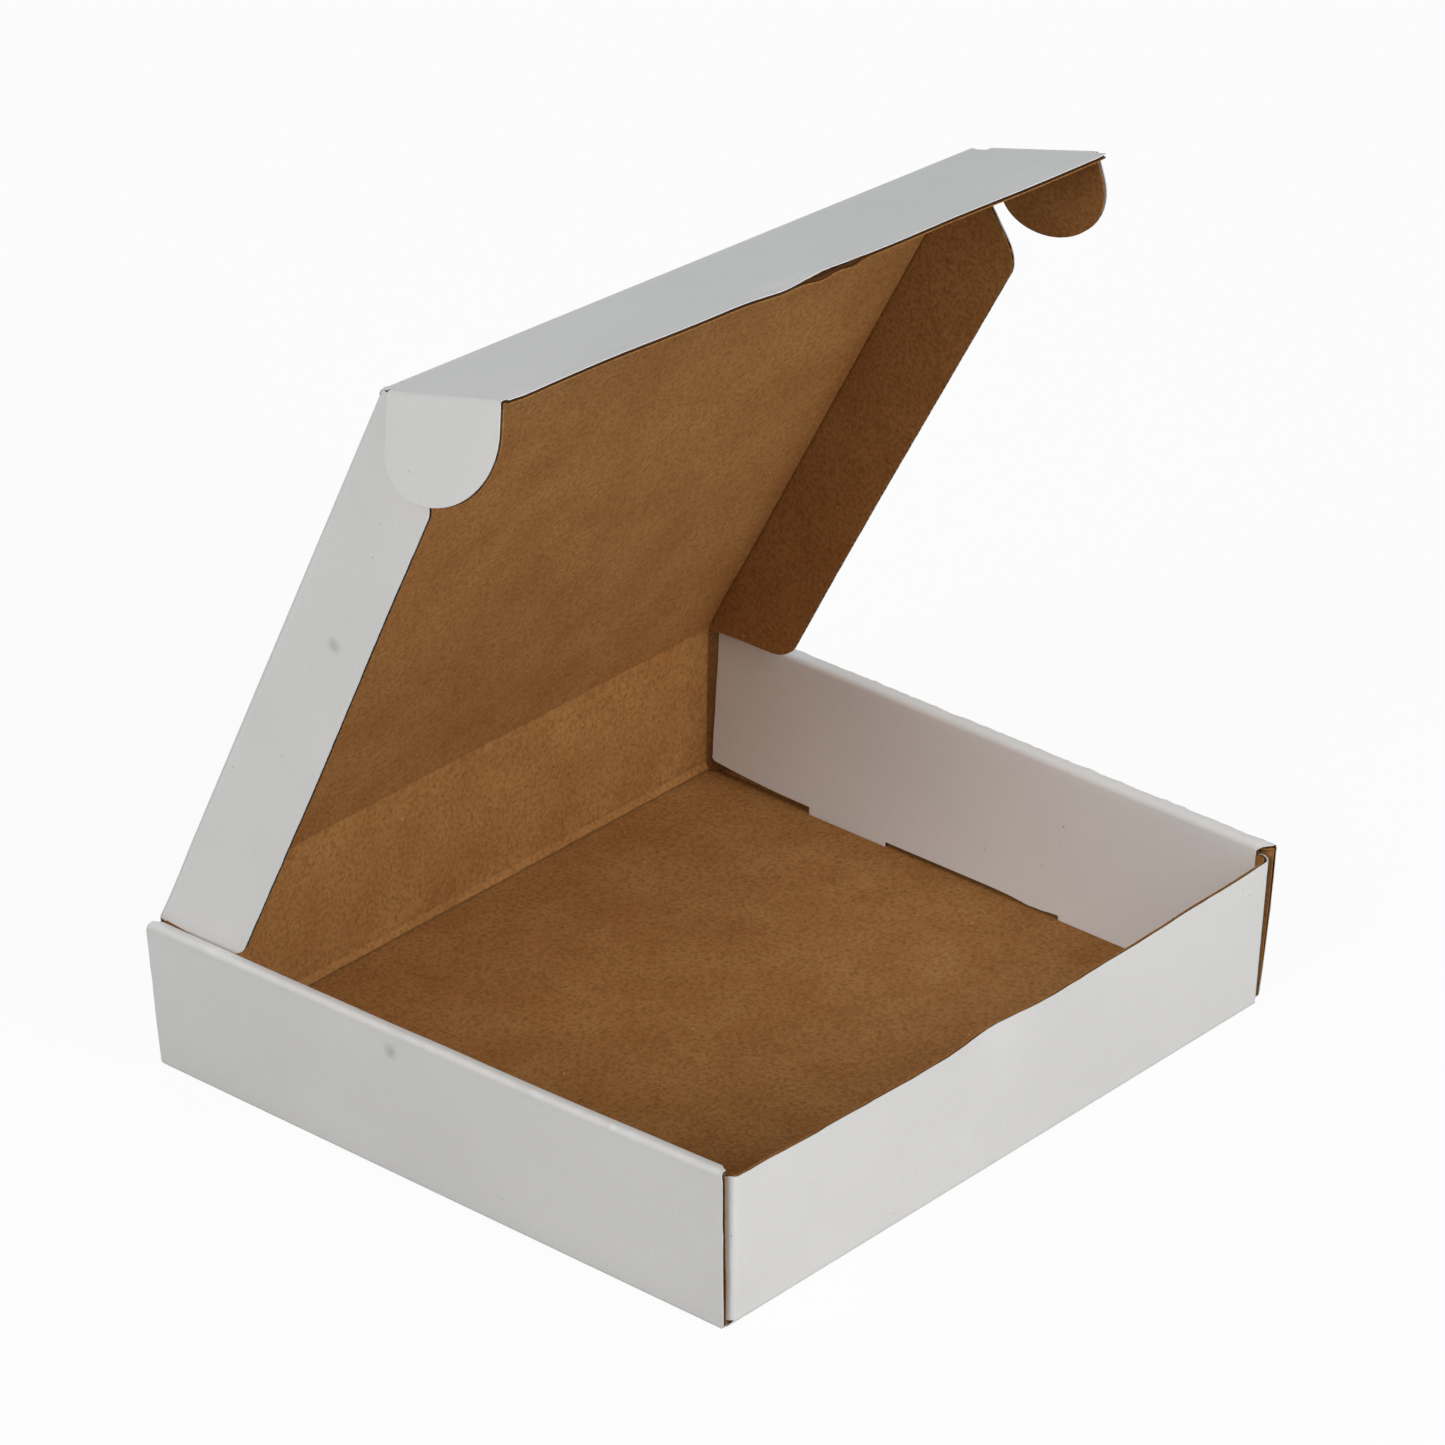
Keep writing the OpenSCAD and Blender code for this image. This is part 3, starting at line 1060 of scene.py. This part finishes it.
        def edges(a: float) -> tuple[float, float]:
            """Front and rear end of the wall at a distance up and over it."""
            fold = smooth(1 - a / bottom) * (BOARD.fold_out - 0.1)
            up = smooth((a - outer_end + 1.0) / 2.8)
            over = clamp((a - strip_start) / (inner_start - strip_start))
            down = clamp((a - inner_start) / self.inner_length)
            rear_in = lerp(1.3 * up, BOARD.thickness + self.inner_rear_top, over)
            rear_in = lerp(rear_in, BOARD.thickness + self.inner_rear_low, down)
            past = reach * (1 - clamp((a - bottom) / self.wall_top)) ** 2 * (1 - up)
            front_in = lerp(0.2 * up, BOARD.thickness + pick(self.inner_front, side), over)
            return fold + front_in - past - half_d, half_d - fold - rear_in

        def sole(y: float) -> float:
            """Where the inner panel ends: its tabs reach into the bottom, and the rest is cut back."""
            if abs(abs(y) - self.tab_pitch / 2) < self.tab_width / 2:
                return foot + self.inner_lift + BOARD.thickness - self.tab_short
            cut = 0.5 * smooth((40 - abs(y)) / 3)
            if y > 0:
                cut += (1.5 + 2.2 * (max(0.0, y - 66) / 40) ** 2) * smooth((y - 60) / 3)
            if side is Side.RIGHT:
                cut -= bell(y, -24, 8) * (0.9 + 0.5 * ripple(42, y / 3.0))
            return foot - cut

        def shape(a: float, b: float, ply: Ply) -> tuple[float, float]:
            """The wall's outline in the blank, with round lower corners and uneven raw ends."""
            y = lerp(*edges(a), (b + half_d) / self.depth)
            corner = round_in(self.inner_corner, a - foot + self.inner_corner)
            y -= math.copysign(corner, b) * smooth((abs(b) - half_d + 12) / 12)
            end = smooth((abs(b) - half_d + 3) / 3)
            y += end * sum(part.at(a, ply) for part in SIDE_WALL_ENDS)
            return a + (sole(y) - foot) * smooth((a - foot + 6) / 6), y

        def place(a: float, b: float, out: float) -> Vector:
            """A point of the wall, whose top fold is a little crushed."""
            x, z = self.side_path.at(a, out)
            fold = bell(a, (outer_end + strip_start) / 2, 1.3)
            crush = fold * (sum(part.at(b) for part in TOP_FOLD_CRUSH) - 0.3)
            panel = smooth(a / 20) * smooth((outer_end - a) / 20)
            x += 0.5 * panel * ripple(63 + side, b / 70, a / 40) - 0.75 * crush
            on_strip = smooth((a - strip_start + 4) / 4) * smooth((inner_start + 4 - a) / 4)
            tilted = smooth((a - strip_start) / (inner_start - strip_start)) * smooth((foot - a) / 30)
            settled = drop * (1 - ((half_d - b) / self.depth) ** 2) * max(0.0, z) / self.height
            z += TOP_STRIP_SAG.at(b) * on_strip - 0.75 * crush - settled - tilt * tilted
            return self.lean(Vector((side * x, b, z)))

        low, high = edges(foot)
        tab_sides = [end * self.tab_pitch / 2 + edge * self.tab_width / 2 + room
                     for end in ENDS for edge in ENDS for room in (-0.04, 0.04)]
        along = joined(self.side_path.lines(5.0), [foot - d for d in (6, 4.5, 3, 2.3, 1.6, 1.0, 0.5, 0.2)],
                       [outer_end - d for d in (3, 2, 1)])
        across = joined(spaced(-half_d, half_d, 1.6), [-half_d + 0.6, half_d - 0.6],
                        [(y - low) / (high - low) * self.depth - half_d for y in tab_sides])
        flutes = [(0.0, foot, -half_d, -half_d + 3 * BOARD.pitch),
                  (0.0, foot, half_d - 3 * BOARD.pitch, half_d),
                  (foot - 4.0, foot, -half_d, half_d)]
        return [Sheet(along, across, place, shape, flutes=flutes)]


@dataclass
class Lid:
    """The lid panel, its front flap, side flaps and ears, and the creases between them.

    A pair is for the left and the right side, but for the front flap's clip and the ear's roundness.

    Attributes:
        dress: The materials.
        lid_hinge: The joint on the rear crease.
        front_hinge: The joint on the front crease.
        twist: How far the lid stands more open at a side, in degrees.
        droop: How far the front flap folds further at an end, in degrees.
        rear_spread: How far the lid's left edge stands out at the rear.
        front_length: Length of the front flap.
        front_margin: Margin of the front crease's strip, wide so that it bends softly.
        front_clip: Width and depth of the front flap's clipped corners.
        front_skew: How much longer the front flap is at an end.
        side_fold: Fold of a side flap at its rear and its front, in degrees.
        flap_depth: Depth of a side flap.
        flap_rear: Where it starts along the lid.
        flap_heel: How far its rear end is cut back near the crease.
        flap_rear_slant: Slant of its rear end from square, in degrees.
        flap_front_slant: The same for its front end.
        flap_front_room: How far it stops short of the front crease.
        flap_front_bend: Depth over which its front end reaches its slant.
        flap_corner: Radius of its corners.
        ear_depth: Depth of an ear.
        ear_rear: Distance from the front crease to an ear's rear edge.
        ear_front: Distance from the front flap's free edge to an ear's front edge.
        ear_round: Share of the depth over which an ear's rear and front corner are round.
        ear_width: Share of the width that those corners take up.
        smudge_along: Place of the left side flap's rub mark along its crease.
        smudge_depth: Distance of that mark from the crease.
    """

    dress: Dress
    lid_hinge: Hinge
    front_hinge: Hinge
    twist: tuple[float, float] = (1.4, -1.6)
    droop: tuple[float, float] = (2.0, -2.0)
    rear_spread: float = 2.2
    front_length: float = 49.5
    front_margin: float = 6.0
    front_clip: tuple[float, float] = (5.0, 0.8)
    front_skew: tuple[float, float] = (-1.0, 4.2)
    side_fold: tuple[tuple[float, float], tuple[float, float]] = ((93.0, 90.0), (93.0, 85.0))
    flap_depth: tuple[float, float] = (29.0, 30.0)
    flap_rear: tuple[float, float] = (0.2, -2.3)
    flap_heel: tuple[float, float] = (0.0, 1.6)
    flap_rear_slant: tuple[float, float] = (17.5, 29.7)
    flap_front_slant: tuple[float, float] = (34.6, 30.3)
    flap_front_room: tuple[float, float] = (-0.6, 2.0)
    flap_front_bend: float = 12.0
    flap_corner: float = 6.0
    ear_depth: tuple[float, float] = (30.6, 27.0)
    ear_rear: tuple[float, float] = (3.5, 7.0)
    ear_front: tuple[float, float] = (2.6, 1.6)
    ear_round: tuple[float, float] = (0.47, 0.72)
    ear_width: tuple[float, float] = (0.44, 0.55)
    smudge_along: float = 131.2
    smudge_depth: float = 17.2

    def __post_init__(self) -> None:
        """Works out the lid's and the front flap's directions and creases from the frame's hinges."""
        reach = self.front_hinge.place - self.lid_hinge.place
        self.length = reach.length
        self.along = reach.normalized()
        self.inward = X_AXIS.cross(self.along)
        ear_hinge = Hinge.named("right_ear_hinge")
        self.flap_along = ear_hinge.axis
        self.flap_inward = X_AXIS.cross(self.flap_along)
        self.rear_crease = Crease(self.lid_hinge, X_AXIS, Z_AXIS, -Y_AXIS,
                                  lambda t: math.degrees(math.acos(self.along.z)))
        self.half = Hinge.named("right_side_flap_hinge").place.x
        front_fold = math.degrees(self.along.angle(self.flap_along))
        self.front_crease = Crease(self.front_hinge, X_AXIS, self.along, self.inward,
                                   lambda t: front_fold + lerp(*self.droop, self.share(t)),
                                   margin=self.front_margin)
        self.ear_half = ear_hinge.place.x

    def share(self, x: float) -> float:
        """How far a place lies from the lid's left crease to its right one."""
        return (x + self.half) / (2 * self.half)

    def warp(self, place: Vector) -> Vector:
        """Twists the lid a little about its hinge, from nothing at the hinge itself."""
        arm = place - self.lid_hinge.place
        radius = math.hypot(arm.y, arm.z)
        turn = -math.radians(lerp(*self.twist, self.share(arm.x))) * smooth((radius - 3) / 30)
        slip = smooth((-arm.x - SAG_START) / SAG_WIDTH) * max(0.0, 1 - radius / self.length)
        slipped = arm - slip * (self.rear_spread * X_AXIS + REAR_SAG * Z_AXIS)
        return self.lid_hinge.place + Matrix.Rotation(turn, 3, "X") @ slipped

    def drooped(self, side: Side, place: Vector) -> Vector:
        """Turns a point of an ear with its end of the front flap, and twists it with the lid."""
        turn = Matrix.Rotation(math.radians(pick(self.droop, side)), 3, "X")
        centre = self.front_hinge.place
        return self.warp(centre + turn @ (place - centre))

    def side_crease(self, side: Side) -> Crease:
        """The crease of a side flap, whose fold is tighter at the rear than at the front."""
        hinge = Hinge.named(side.name.lower() + "_side_flap_hinge")
        rear, front = pick(self.side_fold, side)

        def fold(t: float) -> float:
            """Fold at a distance along the lid."""
            return lerp(rear, front, smooth((t - 40) / (self.length - 20)))

        return Crease(hinge, self.along, side * X_AXIS, self.inward, fold)

    def ear_crease(self, side: Side) -> Crease:
        """The crease of an ear, folded as far as the frame's ear is."""
        hinge = Hinge.named(side.name.lower() + "_ear_hinge")
        return Crease(hinge, self.flap_along, side * X_AXIS, self.flap_inward, lambda t: hinge.highest)

    def lid_point(self, x: float, r: float, out: float) -> Vector:
        """A point of the lid, across and along it, with its own slight unevenness."""
        uneven = 0.5 * ripple(71, x / 90, r / 80)
        for room in (self.half - abs(x), r, self.length - r):
            uneven *= smooth((room - 3) / 30)
        out += uneven
        return self.lid_hinge.place + x * X_AXIS + r * self.along - out * self.inward

    def build(self) -> None:
        """Makes the lid's pieces and creases, and puts the pieces on their bodies."""
        self._panel()
        self._front_flap()
        self._fold(self.rear_crease, "rear_crease", -self.half - 0.3, self.half + 1.2, 0.0)
        self._fold(self.front_crease, "front_crease", -self.half - 0.9, self.half + 0.9, 1.8)
        for side in Side:
            name = side.name.lower()
            self._side_flap(side, name)
            self._ear(side, name)

    def _settle(self, piece: bpy.types.Object, body: str) -> None:
        """A piece that stands for its body's only node and moves with it."""
        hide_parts(body)
        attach(piece, body)

    def _panel(self) -> None:
        """The lid's flat panel, between its creases."""
        rim = self.half - CREASE_HALF
        front = self.length - self.front_crease.half
        sheet = Sheet(spaced(-rim, rim, 7.0), spaced(CREASE_HALF, front, 7.0),
                      lambda a, b, out: self.warp(self.lid_point(a, b, out)))
        self._settle(make_piece("lid_panel", [sheet], self.dress.plain()), "lid")

    def _fold(self, crease: Crease, name: str, first: float, last: float, tuck: float) -> None:
        """The strip of board over a crease that runs across the box.

        Args:
            crease: The crease.
            name: Name of the strip.
            first: Its left end.
            last: Its right end.
            tuck: How far the kraft and the medium stop short of the white liner's ends.
        """
        edge = CREASE_HALF + 0.01

        def shape(a: float, b: float, ply: Ply) -> tuple[float, float]:
            """At the front corners only the white liner runs out to the ends."""
            width = last - (0.0 if ply is Ply.WHITE else tuck)
            if abs(b) > edge:
                width = min(width, self.half - edge if b < 0 else self.ear_half - edge)
            return a * width / last, b

        sheet = Sheet(spaced(first, last, 5.0), crease.cells(),
                      lambda a, b, out: self.warp(crease.point(a, b, out)), shape, plies=tuple(Ply))
        piece = make_piece(name, [sheet], self.dress.plain())
        line = self.warp(crease.point(last, 0, 0)) - self.warp(crease.point(first, 0, 0))
        self._bend(piece, crease, 0.0, line.normalized(), self.warp)

    def _bend(self, piece: bpy.types.Object, crease: Crease, along: float, line: Vector,
              put: Callable[[Vector], Vector]) -> None:
        """Works out the chord across a crease's turn, which nothing uses further, and bakes the strip's
        transform into its mesh.

        Args:
            piece: The strip.
            crease: The crease that it covers.
            along: Place along the crease where the turn is measured.
            line: Direction of the crease as it lies.
            put: The warp of what it belongs to.
        """
        wide = crease.half - Crease.margin
        start = put(crease.point(along, -wide, 0))
        end = put(crease.point(along, wide, 0))
        chord = end - start
        chord -= chord.dot(line) * line
        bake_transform(piece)

    def _front_flap(self) -> None:
        """The front flap, whose free edge has a soft dent and a split where the plies came apart."""
        crease = self.front_crease
        half = self.ear_half - CREASE_HALF
        length = self.front_length
        clip_x, clip_y = self.front_clip

        def shape(a: float, b: float, ply: Ply) -> tuple[float, float]:
            """The free edge with its clipped corners, dent and wear."""
            clip = clip_y * max(0.0, abs(a) - half + clip_x) / clip_x
            edge = length - clip + lerp(*self.front_skew, (a + half) / (2 * half))
            edge += 1.2 * bell(a, -16, 8) - 0.5 * bell(a, 4, 6)
            torn = bell(a, 6, 11)
            edge += (0.1 + 0.35 * torn) * ripple(81 + 2 * ply, a / 2.6) + FRONT_FLAP_EDGE.at(a)
            edge -= (0.0, 0.35, 0.5)[ply]
            start = crease.half
            return a, lerp(start, edge, (b - start) / (length - start))

        def place(a: float, b: float, out: float) -> Vector:
            """A point of the flap, where the plies part near the split."""
            near = smooth((b - length + 7) / 7)
            split = near * (bell(a, 2, 7) + 0.7 * bell(a, 14, 4))
            out += split * (0.2 if out > 0.4 else -1.5 if out < -0.4 else -0.6)
            out += FRONT_FLAP_WAVE.at(a) * near - 0.4 * near * bell(a, -16, 10)
            return self.warp(crease.point(a, b, out))

        along = joined(spaced(-half, half, 5.0), spaced(-30, 26, 1.2), [half - clip_x, clip_x - half])
        across = joined(spaced(crease.half, length, 5.0), [length - d for d in (7, 3, 1.5, 0.6)])
        sheet = Sheet(along, across, place, shape, flutes=[(-half, half, length - 3 * BOARD.pitch, length)])
        self._settle(make_piece("front_flap_panel", [sheet], self.dress.plain()), "front_flap")

    def _side_flap(self, side: Side, name: str) -> None:
        """A side flap and the crease that it hangs on."""
        crease = self.side_crease(side)
        depth, corner = pick(self.flap_depth, side), self.flap_corner
        begin = pick(self.flap_rear, side)
        rear_run = math.tan(math.radians(pick(self.flap_rear_slant, side)))
        front_run = math.tan(math.radians(pick(self.flap_front_slant, side)))
        front = self.length - pick(self.flap_front_room, side)
        heel = pick(self.flap_heel, side)

        def ends(a: float) -> tuple[float, float]:
            """Rear and front end of the flap at a depth, round at the corners."""
            bow = 0.8 * round_in(corner, a - depth + corner)
            run = a * front_run * smooth(a / self.flap_front_bend)
            return begin + a * rear_run + heel * smooth(a / 5) + bow, front - run - bow

        def shape(a: float, b: float, ply: Ply) -> tuple[float, float]:
            """The flap's outline, with slightly uneven raw edges."""
            rear, ahead = ends(a)
            share = (b - begin) / (front - begin)
            edge = smooth((a - depth + 2) / 2)
            a += edge * SIDE_FLAP_EDGE.at(b, 3 * side + ply)
            end = smooth((abs(share - 0.5) - 0.49) / 0.01)
            return a, lerp(rear, ahead, share) + end * SIDE_FLAP_ENDS.at(a, ply)

        def place(a: float, b: float, out: float) -> Vector:
            """A point of the flap, whose middle bows a little."""
            bow = SIDE_FLAP_BOW.at(b, side) * smooth((a - 3) / 25)
            return self.warp(crease.point(b, a, out + bow))

        start = crease.half
        along = joined(spaced(start, depth, 4.0), [depth - d for d in (6, 4.5, 3, 2, 1.2, 0.6, 0.2)])
        across = joined(spaced(begin, front, 4.0), [begin + 0.8, front - 0.8])
        sheet = Sheet(along, across, place, shape,
                      flutes=[(depth - 6.0, depth, begin, front),
                              (start, depth, begin, begin + 2 * BOARD.pitch),
                              (start, depth, front - 2 * BOARD.pitch, front)])
        finishes = self.dress.plain()
        if side is Side.LEFT:
            mark = self.warp(crease.point(self.smudge_along, self.smudge_depth, BOARD.half))
            finishes = self.dress.marked("white_top_liner_rubbed_flap", mark)
        self._settle(make_piece(name + "_side_flap_panel", [sheet], finishes), name + "_side_flap")
        rear, ahead = ends(0)
        self._short_fold(crease, name + "_side_crease", max(0.2, rear), ahead, self.warp)

    def _short_fold(self, crease: Crease, name: str, first: float, last: float,
                    put: Callable[[Vector], Vector]) -> None:
        """The strip of board over a crease that runs along the lid or the front flap.

        Args:
            crease: The crease.
            name: Name of the strip.
            first: Where it starts along the crease.
            last: Where it ends.
            put: The warp of what it belongs to.
        """
        sheet = Sheet(crease.cells(), spaced(first, last, 5.0),
                      lambda a, b, out: put(crease.point(b, a, out)), plies=tuple(Ply))
        piece = make_piece(name, [sheet], self.dress.plain())
        line = put(crease.point(last, 0, 0)) - put(crease.point(first, 0, 0))
        self._bend(piece, crease, (first + last) / 2, line.normalized(), put)

    def _ear(self, side: Side, name: str) -> None:
        """A round ear and the crease that it hangs on."""
        crease = self.ear_crease(side)
        depth = pick(self.ear_depth, side)
        rear, front = pick(self.ear_rear, side), self.front_length - pick(self.ear_front, side)
        rounds = [part * depth for part in self.ear_round]

        def bow(a: float, rise: float, width: float) -> float:
            """How far a round corner has come in at a depth."""
            return width * (front - rear) * round_in(1.0, (a - depth + rise) / rise)

        def shape(a: float, b: float, ply: Ply) -> tuple[float, float]:
            """The ear's outline, round all the way along its tip."""
            share = (b - rear) / (front - rear)
            low = rear + bow(a, rounds[0], self.ear_width[0])
            high = front - bow(a, rounds[1], self.ear_width[1])
            edge = smooth(a - depth + 1)
            return a + edge * EAR_EDGE.at(b, ply + 3 * side), lerp(low, high, share)

        def place(a: float, b: float, out: float) -> Vector:
            """A point of the ear, which curls out a little towards its tip."""
            curl = 0.35 * ((a - crease.half) / depth) ** 2
            return self.drooped(side, crease.point(b, a, out + curl))

        start = crease.half
        round_off = [depth - rounds[1] * (1 - math.sin(math.radians(t))) for t in range(0, 91, 5)]
        along = joined([start], [a for a in round_off if a > start], spaced(start, depth - rounds[1], 3.0))
        sheet = Sheet(along, spaced(rear, front, 2.0), place, shape,
                      flutes=[(depth - 8.0, depth, rear, front)])
        self._settle(make_piece(name + "_ear_panel", [sheet], self.dress.plain()), name + "_ear")
        self._short_fold(crease, name + "_ear_crease", rear, front, lambda point: self.drooped(side, point))


@dataclass(frozen=True)
class Softbox:
    """A large soft lamp: where it stands in metres, its power in watts, its colour and its size."""

    name: str
    place: tuple[float, float, float]
    power: float
    colour: str = "#FFFFFF"
    size: tuple[float, float] = (1.4, 1.2)

    def put(self, target: Vector) -> None:
        """Adds the lamp, turned to a target in metres."""
        data = bpy.data.lights.new(self.name, "AREA")
        data.shape = "RECTANGLE"
        data.size, data.size_y = self.size
        data.energy = self.power
        data.color = linear(self.colour)[:3]
        lamp = bpy.data.objects.new(self.name, data)
        lamp.location = self.place
        lamp.rotation_euler = (target - Vector(self.place)).to_track_quat("-Z", "Y").to_euler()
        bpy.context.scene.collection.objects.link(lamp)


@dataclass(frozen=True)
class Studio:
    """White floor, soft light and the camera.

    Attributes:
        azimuth: Direction of the camera round the box, in degrees.
        elevation: Its height above the horizon, in degrees.
        roll: How far it leans, in degrees.
        focal: Focal length in pixels of the picture.
        picture: Width of the picture in pixels.
        scale: Pixels to a millimetre at the origin.
        shift: How far the origin lies from the middle of the view, right and up, in millimetres.
        sensor: Width of the camera's sensor in millimetres.
        far: How far the camera sees, in metres.
        ambient: Light from all round that falls on the box.
        floor_half: Half the width of the floor in metres.
        floor_white: Share of plain white in what the camera sees of the floor.
        floor_seen: Colour of the rest.
        floor_bounce: Colour of the floor in the light that it sends back to the box.
        aim: Height in metres that the lamps are turned to.
        lamps: The lamps.
    """

    azimuth: float = -49.695
    elevation: float = 28.166
    roll: float = 0.923
    focal: float = 8000.0
    picture: float = 1445.0
    scale: float = 3.340
    shift: tuple[float, float] = (-1.607, -92.840)
    sensor: float = 36.0
    far: float = 20.0
    ambient: float = 0.015
    floor_half: float = 4.0
    floor_white: float = 0.93
    floor_seen: str = "#F2F2F2"
    floor_bounce: str = "#BABABA"
    aim: float = 0.1
    lamps: tuple[Softbox, ...] = (
        Softbox("left_softbox", (-2.0, 0.0, 1.2), 24.5),
        Softbox("left_front_fill", (-1.7, -1.0, 1.4), 6.5),
        Softbox("front_softbox", (0.0, -2.0, 1.6), 29.0),
        Softbox("front_fill", (0.0, -2.2, 0.5), 16.0),
        Softbox("rear_softbox", (1.4, 1.4, 1.6), 19.0, "#F2FAFF"),
    )

    def build(self) -> None:
        """Makes the floor, the light and the camera."""
        self._floor()
        self._world()
        for lamp in self.lamps:
            lamp.put(Vector((0, 0, self.aim)))
        self._camera()

    def _seen(self, tree: Tree) -> Socket:
        """One on what the camera sees straight or in a reflection, and nought on other light."""
        path = add(tree, "ShaderNodeLightPath", {}, {})
        total = path.outputs["Is Camera Ray"]
        for kind in ("Is Glossy Ray", "Is Transmission Ray"):
            total = maths(tree, "ADD", total, path.outputs[kind], clamped=True)
        return total

    def _floor(self) -> None:
        """A white floor that shows nearly white to the camera and keeps the box's shadow."""
        grid = bmesh.new()
        bmesh.ops.create_grid(grid, x_segments=1, y_segments=1, size=self.floor_half)
        mesh = bpy.data.meshes.new("studio_floor")
        grid.to_mesh(mesh)
        grid.free()
        material, tree, output = new_tree("matt_white_floor")
        seen = self._seen(tree)
        pale = mixed(tree, seen, linear(self.floor_bounce), linear(self.floor_seen))
        matt = add(tree, "ShaderNodeBsdfDiffuse", {}, {"Color": pale})
        glow = add(tree, "ShaderNodeEmission", {}, {"Color": linear("#FFFFFF"), "Strength": 1.0})
        white = maths(tree, "MULTIPLY", seen, self.floor_white)
        mix = add(tree, "ShaderNodeMixShader", {},
                  {0: white, 1: matt.outputs["BSDF"], 2: glow.outputs["Emission"]})
        tree.links.new(mix.outputs["Shader"], output.inputs["Surface"])
        mesh.materials.append(material)
        floor = bpy.data.objects.new("studio_floor", mesh)
        bpy.context.scene.collection.objects.link(floor)

    def _world(self) -> None:
        """White all round: plain white to the camera, and a soft even light on the box."""
        world = bpy.data.worlds.new("white_studio")
        world.use_nodes = True
        tree = world.node_tree
        tree.nodes.clear()
        output = add(tree, "ShaderNodeOutputWorld", {}, {})
        level = ranged(tree, self._seen(tree), 0.0, 1.0, self.ambient, 1.0)
        sky = add(tree, "ShaderNodeBackground", {}, {"Color": linear("#FFFFFF"), "Strength": level})
        tree.links.new(sky.outputs["Background"], output.inputs["Surface"])
        bpy.context.scene.world = world

    def _camera(self) -> None:
        """The camera at the picture's own viewpoint."""
        turn, rise, lean = (math.radians(v) for v in (self.azimuth, self.elevation, self.roll))
        back = Vector((math.sin(turn) * math.cos(rise), -math.cos(turn) * math.cos(rise), math.sin(rise)))
        level = Vector((math.cos(turn), math.sin(turn), 0))
        upright = back.cross(level)
        right = math.cos(lean) * level + math.sin(lean) * upright
        up = math.cos(lean) * upright - math.sin(lean) * level
        data = bpy.data.cameras.new("camera")
        data.sensor_width = self.sensor
        data.lens = self.focal / self.picture * self.sensor
        data.clip_end = self.far
        camera = bpy.data.objects.new("camera", data)
        place = back * (self.focal / self.scale) - right * self.shift[0] - up * self.shift[1]
        turned = Matrix((right, up, back)).transposed().to_4x4()
        camera.matrix_world = Matrix.Translation(place * MM) @ turned
        bpy.context.scene.collection.objects.link(camera)
        bpy.context.scene.camera = camera
        bpy.context.scene.view_settings.view_transform = "Standard"


def main() -> None:
    """Builds the studio and every piece of the box, in order."""
    logging.basicConfig(level=logging.INFO, format="%(message)s")
    Studio().build()
    dress = Dress()
    lid_hinge = Hinge.named("lid_hinge")
    Tray(dress, lid_hinge).build()
    Lid(dress, lid_hinge, Hinge.named("front_flap_hinge")).build()


if __name__ == "__main__":
    main()
